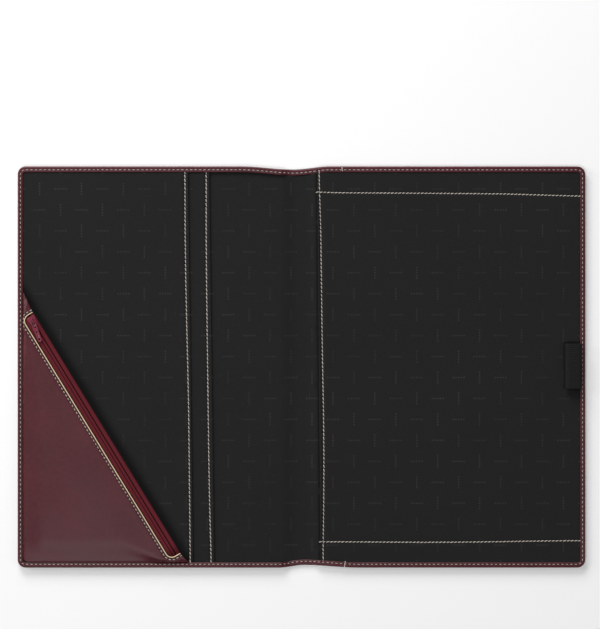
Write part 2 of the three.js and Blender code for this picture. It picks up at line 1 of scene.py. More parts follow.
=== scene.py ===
# %% [markdown]
# # A stitched leather folio, lying open
#
# The solids of this folio are already packed: two stiff covers on a soft spine, flat pockets, a zipped
# corner pocket and a pen loop. They carry the motion and the sizes. This lesson dresses them, one material
# layer at a time, in the order in which the folio is made: the hide, the lining, the pockets, the zip, and
# last the thread.

import math
from contextlib import contextmanager

import bmesh
import bpy
import numpy as np
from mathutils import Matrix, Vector, noise
from mathutils.geometry import delaunay_2d_cdt


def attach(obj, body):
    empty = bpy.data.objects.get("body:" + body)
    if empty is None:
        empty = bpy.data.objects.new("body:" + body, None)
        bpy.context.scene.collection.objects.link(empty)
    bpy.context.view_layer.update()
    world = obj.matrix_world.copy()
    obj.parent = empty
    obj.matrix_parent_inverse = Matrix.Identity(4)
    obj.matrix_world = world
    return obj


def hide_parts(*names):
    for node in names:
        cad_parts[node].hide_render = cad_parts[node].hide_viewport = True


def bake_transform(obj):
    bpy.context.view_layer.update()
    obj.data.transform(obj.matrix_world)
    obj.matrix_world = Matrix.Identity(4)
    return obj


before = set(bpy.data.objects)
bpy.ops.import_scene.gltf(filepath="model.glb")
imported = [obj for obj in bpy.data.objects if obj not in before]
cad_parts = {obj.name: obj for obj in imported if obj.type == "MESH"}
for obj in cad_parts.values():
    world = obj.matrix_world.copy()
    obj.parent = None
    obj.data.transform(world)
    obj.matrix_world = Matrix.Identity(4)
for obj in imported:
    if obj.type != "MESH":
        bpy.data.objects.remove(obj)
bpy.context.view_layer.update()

# %% [markdown]
# ## The sizes that the pieces share
#
# Scripts that dress a solid need its sizes. We write them once, in millimetres, because a folio is easier
# to think about in millimetres, and turn them into metres only where a mesh is made. X runs across the open
# folio, Y to its head, and levels are heights over the table.

# %% Sizes of the folio
MM = 0.001
FORE_EDGE, HALF_HEIGHT, CORNER_RADIUS = 244.0, 172.5, 7.0
HEM_WIDTH = 4.3
HEM_THICKNESS = 0.9
FRONT_HEM_LEVEL, BACK_HEM_LEVEL, SPINE_HEM_LEVEL = 4.25, 3.70, 1.50  # the hem's lower face
HEM_INNER_X, HEM_INNER_Y = FORE_EDGE - HEM_WIDTH, HALF_HEIGHT - HEM_WIDTH
HEAD_DIP = (2.7, -7.5, 45.0, 33.0)  # depth, middle, reach to the left, reach to the right
TAIL_DIP = (2.3, 2.7, 22.0, 47.0)
CORNER_ACROSS, CORNER_UP = 143.7, 234.6  # the zipped pocket's two straight sides
ZIP_TOP = Vector((-HEM_INNER_X, -HEM_INNER_Y + CORNER_UP))
ZIP_FOOT = Vector((-HEM_INNER_X + CORNER_ACROSS, -HEM_INNER_Y))
ZIP_WAY = (ZIP_FOOT - ZIP_TOP).normalized()
CORNER_RUN = (ZIP_FOOT - ZIP_TOP).length
ZIP_IN = Vector((ZIP_WAY.y, -ZIP_WAY.x))


def smooth(a, b, x):
    """Smoothstep from 0 at a to 1 at b."""
    t = np.clip((np.asarray(x, float) - a) / (b - a), 0, 1)
    return t * t * (3 - 2 * t)


def dip(place, x):
    """How far the spine's seam has drawn the edge in at x."""
    depth, middle, left, right = place
    u = (x - middle) / (left if x < middle else right)
    return depth * math.cos(u * math.pi / 2) ** 2 if abs(u) < 1 else 0.0


def put(name, data):
    """An object in the scene that shows this data."""
    made = bpy.data.objects.new(name, data)
    bpy.context.scene.collection.objects.link(made)
    return made


print(f"open folio: {2 * FORE_EDGE:.0f} x {2 * HALF_HEIGHT:.0f} mm")

# %% [markdown]
# ## Camera and light
#
# The folio was photographed from straight above. A long lens two metres up keeps its edges square. The
# lamps are four soft panels: a large one at the head and one on the left make the shadow at the tail and
# the right, a weak one on the right fills it, and one over the tail puts the broad sheen low on the leather
# corner.

# %% Camera
VIEW_HEIGHT = 540.3  # of the picture, in mm on the table
VIEW_MIDDLE = (-1.3, 45.15)
CAMERA_HEIGHT = 2.0  # metres over the lining, which lies 4 mm up
SENSOR = 36.0
camera_data = bpy.data.cameras.new("overhead")
camera_data.sensor_fit = "VERTICAL"
camera_data.sensor_height = SENSOR
camera_data.lens = SENSOR * CAMERA_HEIGHT / (VIEW_HEIGHT * MM)
camera = put("overhead", camera_data)
camera.location = (VIEW_MIDDLE[0] * MM, VIEW_MIDDLE[1] * MM, CAMERA_HEIGHT + 0.004)
bpy.context.scene.camera = camera
bpy.context.scene.view_settings.view_transform = "Standard"
print(f"lens: {camera_data.lens:.1f} mm")


# %% Lamps
def soft_panel(name, place, size, power):
    """A rectangular lamp that looks at the folio's middle. Metres and watts."""
    lamp = bpy.data.lights.new(name, "AREA")
    lamp.shape = "RECTANGLE"
    lamp.size, lamp.size_y = size
    lamp.energy = power
    panel = put(name, lamp)
    panel.location = place
    panel.rotation_euler = (-Vector(place)).to_track_quat("-Z", "Y").to_euler()


soft_panel("head", (-0.55, 1.85, 0.98), (1.4, 0.9), 37.0)
soft_panel("left", (-1.90, 0.55, 0.95), (0.9, 1.3), 17.0)
soft_panel("fill", (1.60, -0.25, 1.20), (1.0, 1.0), 3.0)
soft_panel("sheen", (-0.30, -0.72, 1.75), (0.9, 0.62), 9.0)
world = bpy.data.worlds.new("studio")
world.use_nodes = True
background = world.node_tree.nodes["Background"].inputs
background["Color"].default_value = (1, 1, 1, 1)
background["Strength"].default_value = 0.125
bpy.context.scene.world = world


# %% [markdown]
# ## Building blocks for materials
#
# Every material here is a small graph of nodes on object coordinates, so that it has a real scale in
# metres. What several materials need, such as the grain of a hide or the crossing threads of a cloth, is
# built once as a group with named inputs. A group only puts out masks and heights: each material keeps its
# own shader.

# %% Node helpers
def srgb(red, green, blue):
    """A colour read from a picture, 0 to 255, as the linear colour that a shader wants."""
    shares = (red / 255, green / 255, blue / 255)
    return (*(c / 12.92 if c <= 0.04045 else ((c + 0.055) / 1.055) ** 2.4 for c in shares), 1.0)


def shade(colour, factor, lift=0.0):
    """A colour made darker or lighter."""
    return (*(min(c * factor + lift, 1) for c in colour[:3]), 1.0)


def add_node(tree, kind, inputs=None, **settings):
    """A node with its settings and its inputs, which are values or other nodes' sockets."""
    made = tree.nodes.new(kind)
    for name, value in settings.items():
        setattr(made, name, value)
    for name, value in (inputs or {}).items():
        if isinstance(value, bpy.types.NodeSocket):
            tree.links.new(value, made.inputs[name])
        else:
            made.inputs[name].default_value = value
    return made


def maths(tree, operation, *values, clamp=False):
    """One Math node, and its result."""
    inputs = dict(enumerate(values))
    return add_node(tree, "ShaderNodeMath", inputs, operation=operation, use_clamp=clamp).outputs[0]


def weighted(tree, first, second, share):
    """A sum of two values, where share is the weight of the first."""
    return maths(tree, "MULTIPLY_ADD", first, share, maths(tree, "MULTIPLY", second, 1 - share))


def noise_at(tree, place, scale, detail, roughness=0.5):
    """The outputs of a noise texture. Scale is in features to the metre."""
    inputs = {"Vector": place, "Scale": scale, "Detail": detail, "Roughness": roughness}
    return add_node(tree, "ShaderNodeTexNoise", inputs).outputs


def stretched(tree, value, low, high):
    """A value from low to high, drawn out to 0 to 1."""
    inputs = {"Value": value, "From Min": low, "From Max": high}
    return add_node(tree, "ShaderNodeMapRange", inputs).outputs[0]


def blend_values(tree, factor, first, second):
    """A value Mix node."""
    return add_node(tree, "ShaderNodeMix", {0: factor, 2: first, 3: second}, data_type="FLOAT").outputs[0]


def blend_colours(tree, factor, first, second):
    """A colour Mix node: sockets 6 and 7 are its two colours."""
    return add_node(tree, "ShaderNodeMix", {0: factor, 6: first, 7: second}, data_type="RGBA").outputs[2]


def painted_shade_mask(tree):
    """Painted shade that the mesh carries: in the furrows of seams and grooves, and shadows beside raised
    edges.
    """
    return add_node(tree, "ShaderNodeAttribute", attribute_name="seam").outputs["Fac"]


def effect(name, inputs, outputs):
    """An empty shader group with named sockets. Returns the tree, its inputs' sockets and its output node."""
    tree = bpy.data.node_groups.new(name, "ShaderNodeTree")
    for label, kind, value in inputs:
        socket = tree.interface.new_socket(name=label, in_out="INPUT", socket_type=kind)
        if value is not None:
            socket.default_value = value
    for label in outputs:
        tree.interface.new_socket(name=label, in_out="OUTPUT", socket_type="NodeSocketFloat")
    return tree, tree.nodes.new("NodeGroupInput").outputs, tree.nodes.new("NodeGroupOutput")


def use_effect(tree, group, place, **values):
    """Places a group in a material, reading at place, and returns its outputs."""
    inputs = {"Vector": place, **{label.replace("_", " "): value for label, value in values.items()}}
    return add_node(tree, "ShaderNodeGroup", inputs, node_tree=group).outputs


def new_material(name):
    """A material with a plain Principled shader. Returns it, its tree, its shader and its coordinates."""
    material = bpy.data.materials.new(name)
    material.use_nodes = True
    tree = material.node_tree
    shader = tree.nodes["Principled BSDF"]
    place = tree.nodes.new("ShaderNodeTexCoord").outputs["Object"]
    return material, tree, shader, place


def bumped(tree, shader, height, distance_mm, strength=1.0):
    """Feeds a height, 0 to 1, to the shader's normal: distance is what a height of 1 stands for."""
    inputs = {"Height": height, "Distance": distance_mm * MM, "Strength": strength}
    bump = add_node(tree, "ShaderNodeBump", inputs)
    tree.links.new(bump.outputs["Normal"], shader.inputs["Normal"])


# %% [markdown]
# ### Grain of a hide
#
# Calf leather has rounded pebbles about half a millimetre across, set apart by fine creases, and slow
# changes of tone where the dye has taken more or less. Voronoi cells give the pebbles, and two sizes of
# noise the tone.

# %% The grain group
grain, into, out = effect(
    "hide grain",
    [("Vector", "NodeSocketVector", None), ("Pebbles per mm", "NodeSocketFloat", 1.7)],
    ["Height", "Tone", "Crease"],
)
place = into["Vector"]
per_metre = maths(grain, "MULTIPLY", into["Pebbles per mm"], 1000.0)
wander = noise_at(grain, place, 900.0, 2.0)["Color"]
strays = {0: wander, 1: (0.4 * MM,) * 3}
astray = add_node(grain, "ShaderNodeVectorMath", strays, operation="MULTIPLY").outputs[0]
moved = add_node(grain, "ShaderNodeVectorMath", {0: place, 1: astray}, operation="ADD").outputs[0]
cells = add_node(
    grain, "ShaderNodeTexVoronoi", {"Vector": moved, "Scale": per_metre}, feature="DISTANCE_TO_EDGE"
).outputs["Distance"]
pebble = maths(grain, "MULTIPLY", cells, 3.2, clamp=True)
fine, slow = noise_at(grain, place, 2600.0, 3.0)["Fac"], noise_at(grain, place, 26.0, 4.0, 0.55)["Fac"]
mottle = noise_at(grain, place, 380.0, 3.0)["Fac"]
grain.links.new(weighted(grain, pebble, fine, 0.75), out.inputs["Height"])
grain.links.new(weighted(grain, slow, mottle, 0.45), out.inputs["Tone"])
grain.links.new(maths(grain, "SUBTRACT", 1.0, pebble), out.inputs["Crease"])
print("grain:", len(grain.nodes), "nodes")

# %% [markdown]
# ### Crossing threads
#
# A plain weave is two sets of waves at right angles, each over the other in turn. Ribs turns it into cords.

# %% The weave group
weave, into, out = effect(
    "plain weave",
    [
        ("Vector", "NodeSocketVector", None),
        ("Threads per mm", "NodeSocketFloat", 2.6),
        ("Ribs", "NodeSocketFloat", 0.0),
    ],
    ["Height", "Fuzz"],
)
axes = add_node(weave, "ShaderNodeSeparateXYZ", {0: into["Vector"]})
turns = maths(weave, "MULTIPLY", into["Threads per mm"], 1000.0 * math.pi)
across = maths(weave, "SINE", maths(weave, "MULTIPLY", axes.outputs["X"], turns))
down = maths(weave, "SINE", maths(weave, "MULTIPLY", axes.outputs["Y"], turns))
crossing = maths(weave, "MULTIPLY_ADD", maths(weave, "MULTIPLY", across, down), 0.5, 0.5)
ribbed = blend_values(weave, into["Ribs"], crossing, maths(weave, "ABSOLUTE", across))
weave.links.new(ribbed, out.inputs["Height"])
weave.links.new(noise_at(weave, into["Vector"], 1400.0, 4.0)["Fac"], out.inputs["Fuzz"])
print("weave:", len(weave.nodes), "nodes")

# %% [markdown]
# ### Handling
#
# Leather and cloth that are used pick up faint lint, and lose a little dye where hands touch them. One
# group of noise at two sizes serves both. Each material decides how much of it shows.

# %% The handling group
handling, into, out = effect("handling", [("Vector", "NodeSocketVector", None)], ["Lint", "Rub"])
flecks = noise_at(handling, into["Vector"], 520.0, 2.0)["Fac"]
rubs = noise_at(handling, into["Vector"], 11.0, 5.0, 0.6)["Fac"]
handling.links.new(stretched(handling, flecks, 0.62, 0.8), out.inputs["Lint"])
handling.links.new(stretched(handling, rubs, 0.35, 0.75), out.inputs["Rub"])
print("handling:", len(handling.nodes), "nodes")


# %% [markdown]
# ## The finishes
#
# Burgundy calf, black lining, cream thread and edging, and enamelled metal. Colours are read as they look
# in plain light. Shade is painted into hide and cloth in the furrows of seams and grooves, and a painted
# shadow into cloth beside the edges of pockets and of the pen loop: the mesh carries both as an attribute
# named seam.

# %% Burgundy calf
def calf(name, colour):
    """Dyed hide. Its tone also changes its gloss: darker dye lies smoother."""
    material, tree, shader, place = new_material(name)
    hide = use_effect(tree, grain, place, Pebbles_per_mm=1.7)
    used = use_effect(tree, handling, place)
    dark = shade(colour, 0.68)
    tone = blend_colours(tree, hide["Tone"], shade(colour, 0.3), shade(colour, 1.7))
    worn = blend_colours(tree, maths(tree, "MULTIPLY", used["Rub"], 0.1), tone, srgb(112, 62, 68))
    creased = blend_colours(tree, maths(tree, "MULTIPLY", hide["Crease"], 0.18), worn, dark)
    # painted shade in the furrows of seams, from the mesh's seam attribute
    shown = blend_colours(tree, painted_shade_mask(tree), creased, shade(dark, 0.6))
    tree.links.new(shown, shader.inputs["Base Color"])
    tree.links.new(maths(tree, "MULTIPLY_ADD", hide["Tone"], 0.16, 0.35), shader.inputs["Roughness"])
    shader.inputs["Specular IOR Level"].default_value = 0.32
    shader.inputs["Coat Weight"].default_value = 0.04
    shader.inputs["Coat Roughness"].default_value = 0.3
    bumped(tree, shader, hide["Height"], 0.028, 0.7)
    return material


CALF = calf("burgundy calf", srgb(80, 26, 35))


# %% [markdown]
# ### Lining
#
# The black lining has a woven motif that shows only by its sheen. Here it is a plain string of small
# lozenges, lying in one square of the cloth and standing in the next. A square cell is folded to its
# middle, the two directions change places in every other cell, and the lozenges are drawn by distance.

# %% The motif group
motif, into, out = effect(
    "woven strings of lozenges",
    [
        ("Vector", "NodeSocketVector", None),
        ("Cell mm", "NodeSocketFloat", 18.0),
        ("Length mm", "NodeSocketFloat", 11.5),
    ],
    ["Mask"],
)
axes = add_node(motif, "ShaderNodeSeparateXYZ", {0: into["Vector"]})
cell = maths(motif, "MULTIPLY", into["Cell mm"], MM)


def folded(axis):
    """Distance from the middle of the cell along one axis, in mm, and the number of the cell."""
    share = maths(motif, "DIVIDE", axis, cell)
    number = maths(motif, "FLOOR", share)
    middle = maths(motif, "SUBTRACT", maths(motif, "SUBTRACT", share, number), 0.5)
    return maths(motif, "MULTIPLY", middle, into["Cell mm"]), number


(u, column), (v, row) = folded(axes.outputs["X"]), folded(axes.outputs["Y"])
odd = maths(motif, "FLOORED_MODULO", maths(motif, "ADD", column, row), 2.0)
run, rise = blend_values(motif, odd, u, v), blend_values(motif, odd, v, u)
LOZENGE = 1.15  # half of a lozenge's length, in mm
zigzag = maths(motif, "PINGPONG", run, LOZENGE)
slope = maths(motif, "MULTIPLY_ADD", zigzag, 0.95, maths(motif, "ABSOLUTE", rise))
half_length = maths(motif, "MULTIPLY", into["Length mm"], 0.5)
within = maths(motif, "LESS_THAN", maths(motif, "ABSOLUTE", run), half_length)
motif.links.new(maths(motif, "MULTIPLY", stretched(motif, slope, 1.05, 0.7), within), out.inputs["Mask"])
print("motif:", len(motif.nodes), "nodes")


# %% Cloths
def cloth(name, colour, threads_per_mm, ribs=0.0, lift=0.05, figure=0.0, lint=0.05, turn=0.0):
    """Woven cloth: lift is the threads' height in mm, figure how strongly the lozenges show."""
    material, tree, shader, place = new_material(name)
    turned = add_node(tree, "ShaderNodeMapping", {"Vector": place, "Rotation": (0, 0, turn)}).outputs[0]
    threads = use_effect(tree, weave, turned, Threads_per_mm=threads_per_mm, Ribs=ribs)
    used = use_effect(tree, handling, place)
    light = shade(colour, 1.3, 0.004)
    base = blend_colours(tree, threads["Height"], shade(colour, 0.72), light)
    base = blend_colours(tree, maths(tree, "MULTIPLY", used["Rub"], 0.25), base, light)
    if figure:
        sheen = maths(tree, "MULTIPLY", maths(tree, "ADD", used["Rub"], 0.35), figure)
        shown = maths(tree, "MULTIPLY", use_effect(tree, motif, place)["Mask"], sheen)
        base = blend_colours(tree, shown, base, srgb(62, 62, 64))
    dusty = blend_colours(tree, maths(tree, "MULTIPLY", used["Lint"], lint), base, srgb(120, 118, 116))
    # painted shade in seam furrows and grooves, and painted shadows beside pockets and the pen loop
    shown = blend_colours(tree, painted_shade_mask(tree), dusty, shade(colour, 0.28))
    tree.links.new(shown, shader.inputs["Base Color"])
    shader.inputs["Roughness"].default_value = 0.88
    shader.inputs["Specular IOR Level"].default_value = 0.16
    bumped(tree, shader, weighted(tree, threads["Height"], threads["Fuzz"], 0.8), lift, 0.8)
    return material


LINING = cloth("black lining", srgb(30, 30, 30), 2.6, figure=0.6)
ELASTIC = cloth("black elastic", srgb(25, 25, 26), 1.6, ribs=0.6, lift=0.12)
ZIP_TURN = math.atan2(CORNER_UP, CORNER_ACROSS)  # lays the tape's cords along the zip
TAPE = cloth("zip tape", srgb(96, 28, 37), 1.5, ribs=0.7, lift=0.08, lint=0.02, turn=ZIP_TURN)


# %% Thread, edging, nylon, board and enamel
def plain(name, colour, roughness, speckle, size, lift, coat=0.0, metal=0.0):
    """A finish of one colour that varies a little, with a fine bump."""
    material, tree, shader, place = new_material(name)
    spots = noise_at(tree, place, size, 3.0)["Fac"]
    spotted = blend_colours(tree, spots, shade(colour, 1 - speckle), shade(colour, 1 + speckle))
    tree.links.new(spotted, shader.inputs["Base Color"])
    shader.inputs["Roughness"].default_value = roughness
    shader.inputs["Metallic"].default_value = metal
    shader.inputs["Coat Weight"].default_value = coat
    bumped(tree, shader, spots, lift, 0.6)
    return material


THREAD = plain("cream thread", srgb(190, 180, 171), 0.75, 0.25, 1500.0, 0.08)
PIPING = plain("cream edging", srgb(242, 228, 184), 0.55, 0.16, 700.0, 0.04)
NYLON = plain("zip nylon", srgb(98, 33, 41), 0.45, 0.15, 1200.0, 0.03)
BOARD = plain("grey board", srgb(140, 132, 120), 0.9, 0.2, 500.0, 0.06)
ENAMEL = plain("burgundy enamel", srgb(122, 38, 60), 0.4, 0.1, 260.0, 0.01, coat=0.2, metal=0.12)
print("finishes:", [m.name for m in (CALF, LINING, ELASTIC, TAPE, THREAD, PIPING, NYLON, BOARD, ENAMEL)])


# %% [markdown]
# ## Cutting sheets
#
# Lining, pockets, board and leather are all cut from sheets. One helper cuts a sheet to an outline: it
# scatters points on a grid inside, adds rows of points along each fold and seam, and lets a constrained
# triangulation join them. The same net, laid at two heights, gives the sheet's two faces. The heights close
# towards the outline, so that the cut edge is round. A fold or a seam is only a function of height, which
# keeps it easy to read: a ridge where the cloth turns under, a furrow where the thread pulls it down.

# %% Outlines
def folio_edge(inset, side):
    """Half of the folio's outline, inset all round, from the middle of the head to the middle of the tail.
    Each entry is a point and the direction inwards. The points lie closer together where the spine bends."""
    radius = max(CORNER_RADIUS - inset, 1.0)
    centre_x, centre_y = FORE_EDGE - inset - radius, HALF_HEIGHT - inset - radius
    near = np.concatenate([np.arange(0, 26, 1.25), np.arange(26, centre_x - 1, 4.5)])
    turns = [math.pi / 2 * (k / 8) for k in range(9)]

    def straight(x, place, sign):
        slope = (dip(place, side * x + 0.1) - dip(place, side * x - 0.1)) / 0.2 if x else 0.0
        inwards = Vector((-slope, -sign)).normalized()
        return (Vector((side * x, sign * (HALF_HEIGHT - dip(place, side * x)))) + inwards * inset, inwards)

    def corner(sign, angles):
        ways = [Vector((math.cos(a) * side, math.sin(a))) for a in angles]
        return [(Vector((side * centre_x, sign * centre_y)) + way * radius, -way) for way in ways]

    head = [straight(x, HEAD_DIP, 1) for x in near]
    tail = [straight(x, TAIL_DIP, -1) for x in near[::-1]]
    fore_x, fore_y = side * (FORE_EDGE - inset), np.linspace(centre_y, -centre_y, 76)[1:-1]
    fore = [(Vector((fore_x, y)), Vector((-side, 0))) for y in fore_y]
    return [*head, *corner(1, turns[::-1]), *fore, *corner(-1, [-a for a in turns]), *tail]


def flat_array(points):
    return np.array([tuple(p) for p in points], float)


def resampled(points, spacing):
    """A closed outline with no side longer than spacing. Corners stay."""
    result = []
    for a, b in zip(points, points[1:] + points[:1]):
        count = max(1, math.ceil((b - a).length / spacing))
        result += [a.lerp(b, k / count) for k in range(count)]
    return result


def along(path, spacing):
    """An open path with points no further apart than spacing."""
    result = [path[0]]
    for a, b in zip(path, path[1:]):
        count = max(1, math.ceil((b - a).length / spacing))
        result += [a.lerp(b, k / count) for k in range(1, count + 1)]
    return result


def up_rows(xs, ys):
    """Rows of points that run from head to tail, one at each x."""
    return [[Vector((x, y)) for y in ys] for x in xs]


def cross_rows(xs, ys):
    """Rows of points that run across, one at each y."""
    return [[Vector((x, y)) for x in xs] for y in ys]


def distance_to(path, points, closed=False):
    """Distance from each of many points to a path."""
    pts, start = np.array(points, float), flat_array(path)
    end = np.roll(start, -1, axis=0)
    if not closed:
        start, end = start[:-1], end[:-1]
    best = np.full(len(pts), 1e9)
    for a, b in zip(start, end):
        d = b - a
        t = np.clip(((pts - a) @ d) / max(d @ d, 1e-12), 0, 1)
        best = np.minimum(best, np.linalg.norm(pts - (a + t[:, None] * d), axis=1))
    return best


print("outline of half the folio:", len(folio_edge(0.0, 1)), "points")


# %% The net of a sheet
def net(outline, spacing, rows=(), rings=(0.12, 0.45)):
    """Points and triangles inside an outline, with extra rows of points along given paths, and with rings of
    points a little inside the outline, so that the edge can be rounded."""
    outline = [Vector(p) for p in outline]
    fixed = list(outline)
    count = len(outline)
    area = sum(a.x * b.y - b.x * a.y for a, b in zip(outline, outline[1:] + outline[:1]))
    for ring in rings:
        for k, p in enumerate(outline):
            way = (outline[(k + 1) % count] - outline[k - 1]).normalized()
            inwards = Vector((-way.y, way.x)) * (1 if area > 0 else -1)
            fixed.append(p + inwards * ring)
    for row in rows:
        fixed += [Vector(p) for p in row]
    (low_x, low_y), (high_x, high_y) = flat_array(outline).min(0), flat_array(outline).max(0)
    xs = np.arange(low_x + spacing / 2, high_x, spacing)
    ys = np.arange(low_y + spacing / 2, high_y, spacing * 0.87)
    lattice = [(x + (spacing / 2 if k % 2 else 0), y) for k, y in enumerate(ys) for x in xs]
    crowd, clear = flat_array(fixed), (0.45 * spacing) ** 2
    fixed += [Vector(p) for p in lattice if np.min(np.sum((crowd - p) ** 2, axis=1)) > clear]
    sides = [(k, (k + 1) % count) for k in range(count)]
    only_inside = 1
    points, _, triangles, *_ = delaunay_2d_cdt(fixed, sides, [], only_inside, 1e-5)
    return flat_array(points), [tuple(t) for t in triangles]


# %% From a net to a piece
@contextmanager
def edited(mesh):
    """Opens a mesh for edits, and writes them back."""
    work = bmesh.new()
    work.from_mesh(mesh)
    yield work
    work.to_mesh(mesh)
    work.free()


def smooth_up_to(mesh, degrees):
    mesh.polygons.foreach_set("use_smooth", [True] * len(mesh.polygons))
    mesh.set_sharp_from_angle(angle=math.radians(degrees))


def add_piece(name, points, faces, material):
    """A mesh object from millimetre points, with doubles merged, faces outwards and smooth shading."""
    mesh = bpy.data.meshes.new(name)
    mesh.from_pydata([tuple(c * MM for c in p) for p in points], [], faces)
    with edited(mesh) as work:
        bmesh.ops.delete(work, geom=[v for v in work.verts if not v.link_faces], context="VERTS")
        bmesh.ops.remove_doubles(work, verts=work.verts, dist=2e-6)
        bmesh.ops.recalc_face_normals(work, faces=work.faces)
    smooth_up_to(mesh, 50)
    mesh.materials.append(material)
    return put(name, mesh)


def bands(count, width, gap=None):
    """Quads between count closed sections that follow one another, each with width points."""
    starts = [(i * width, k) for i in range(count - 1) for k in range(width) if k != gap]
    return [(i + k, i + (k + 1) % width, i + (k + 1) % width + width, i + k + width) for i, k in starts]


def ends(count, width):
    """The two faces that close a row of sections."""
    last = (count - 1) * width
    return [tuple(range(width)), tuple(last + k for k in reversed(range(width)))]


def nowhere(point):
    return False


def cut_sheet(name, outline, top, thickness, material, spacing=5.0, rows=(), square=nowhere, shaded_paths=()):
    """A sheet whose upper face is top(x, y). Its edge is round, except where square(point) is true."""
    outline = resampled([Vector(p) for p in outline], spacing * 0.8)
    flat, triangles = net(outline, spacing, rows, rings=(0.15 * thickness, 0.5 * thickness))
    gap = np.full(len(flat), 1e9)
    for a, b in zip(outline, outline[1:] + outline[:1]):
        if not (square(a) and square(b)):
            gap = np.minimum(gap, distance_to([a, b], flat))
    radius = thickness / 2
    share = np.clip(1 - gap / radius, 0, 1)
    drop = radius * (1 - np.sqrt(1 - share**2))
    upper = top(flat[:, 0], flat[:, 1])
    points = [(x, y, z) for (x, y), z in zip(flat, upper - drop)]
    points += [(x, y, z) for (x, y), z in zip(flat, upper - thickness + drop)]
    count = len(flat)
    faces = list(triangles) + [tuple(k + count for k in reversed(t)) for t in triangles]
    rim = {}
    for t in triangles:
        for a, b in zip(t, t[1:] + t[:1]):
            key = (min(a, b), max(a, b))
            rim[key] = None if key in rim else (a, b)
    faces += [(b, a, a + count, b + count) for a, b in filter(None, rim.values())]
    made = add_piece(name, points, faces, material)
    # painted shade along the given paths
    if shaded_paths:
        mark_painted_shade(made, shaded_paths)
    return made


def mark_painted_shade(made, shaded_paths, width=0.6):
    """Writes the attribute of painted shade that darkens a sheet along paths, seam furrows and the shadows
    beside edges, or adds to it. Width is in mm.
    """
    corners = np.zeros(len(made.data.vertices) * 3)
    made.data.vertices.foreach_get("co", corners)
    flat = corners.reshape(-1, 3)[:, :2] / MM
    gap = np.min([distance_to(path, flat) for path in shaded_paths], axis=0)
    attribute = made.data.attributes.get("seam") or made.data.attributes.new("seam", "FLOAT", "POINT")
    marked = np.zeros(len(flat), np.float32)
    attribute.data.foreach_get("value", marked)
    attribute.data.foreach_set("value", np.maximum(marked, np.exp(-((gap / width) ** 2))).astype(np.float32))


# %% [markdown]
# ## The hide
#
# The folio's outside is one hide, turned in over the lining on all sides and stitched down. A flat sheet
# with a separate frame on top would show a joint. So we draw the turned edge in cross-section, from the
# hem's inner edge over the fold to the underside, with a furrow where the seam runs, and carry that section
# round the outline. A net closes the flat back. The hide is made in two halves that meet in the middle of
# the spine, because each half bends across one hinge only.

# %% Section of the turned edge
def seam_inset(inwards):
    """The border seam lies a little further in at the head and the tail."""
    return 2.65 + 0.45 * abs(inwards.y)


def hem_reach(inwards):
    """The hem reaches in past its seam a little less at the tail and on the right."""
    return 2.05 - 0.5 * max(inwards.y, 0.0) - 0.3 * max(-inwards.x, 0.0)


def hem_level(x, cover_level):
    """The hem steps down from a cover to the spine, which has no board."""
    return SPINE_HEM_LEVEL + (cover_level - SPINE_HEM_LEVEL) * float(smooth(9.5, 17.5, abs(x)))


def turned_section(level, seam, reach):
    """Insets and heights round the turned edge, for a hem that lies at level: from its inner edge, which is
    thinned, over the seam's furrow and the fold to the underside, and back inside the leather."""
    high = level + HEM_THICKNESS
    low = min(level - 0.2, 1.25)
    inner = seam + reach
    outside = [
        (inner, level + 0.02), (inner, high - 0.52), (inner - 0.15, high - 0.34),
        (inner - 0.6, high - 0.14), (seam + 0.85, high - 0.02), (seam + 0.45, high - 0.12),
        (seam + 0.2, high - 0.24), (seam, high - 0.30), (seam - 0.2, high - 0.24),
        (seam - 0.45, high - 0.12), (seam - 0.85, high - 0.02), (1.30, high - 0.08),
        (0.75, high - 0.30), (0.34, high - 0.70), (0.08, high * 0.62), (0.00, high * 0.47),
        (0.08, high * 0.32), (0.32, high * 0.18), (0.70, high * 0.07), (1.20, 0.02), (1.60, 0.00),
        (seam - 0.3, 0.14), (seam, 0.22), (seam + 0.3, 0.14), (seam + 0.7, 0.0), (4.20, 0.0),
    ]
    inside = [(4.20, 1.0), (1.40, 1.0), (1.10, low), (1.10, level - 0.15), (1.35, level), (inner, level)]
    return outside, inside


# %% Two halves of the hide
HIDE_THICKNESS = 1.0


def hide_half(name, side, cover_level):
    rim = folio_edge(0.0, side)
    loops = []
    for point, inwards in rim:
        level = hem_level(point.x, cover_level)
        outside, inside = turned_section(level, seam_inset(inwards), hem_reach(inwards))
        loops.append([(*(point + inwards * inset), z) for inset, z in outside + inside])
    width, joint = len(loops[0]), len(outside) - 1  # the back's net joins on there
    points = [p for loop in loops for p in loop]
    faces = bands(len(loops), width, gap=joint) + ends(len(loops), width)
    edge = [Vector(loop[joint][:2]) for loop in loops]
    middle = along([edge[-1], edge[0]], 8.0)[1:-1]
    rows = up_rows(side * np.arange(1.5, 24, 1.5), np.arange(-160, 161, 8.0))
    flat, triangles = net(edge + middle, 9.0, rows, rings=())
    below, count = len(points), len(flat)
    above = below + count
    points += [(x, y, z) for z in (0.0, HIDE_THICKNESS) for x, y in flat]
    faces += [tuple(below + k for k in reversed(t)) for t in triangles]
    faces += [tuple(above + k for k in t) for t in triangles]
    spine_side = sorted((k for k in range(count) if abs(flat[k][0]) < 1e-4), key=lambda k: flat[k][1])
    faces += [(below + a, below + b, above + b, above + a) for a, b in zip(spine_side, spine_side[1:])]
    made = add_piece(name, points, faces, CALF)
    # painted shade in the furrow of the border seam
    mark_painted_shade(made, [[p + n * seam_inset(n) for p, n in rim]], 0.35)
    return made


front_hide = hide_half("front_hide", -1, FRONT_HEM_LEVEL)
back_hide = hide_half("back_hide", 1, BACK_HEM_LEVEL)
print("hide halves:", len(front_hide.data.polygons), len(back_hide.data.polygons), "faces")

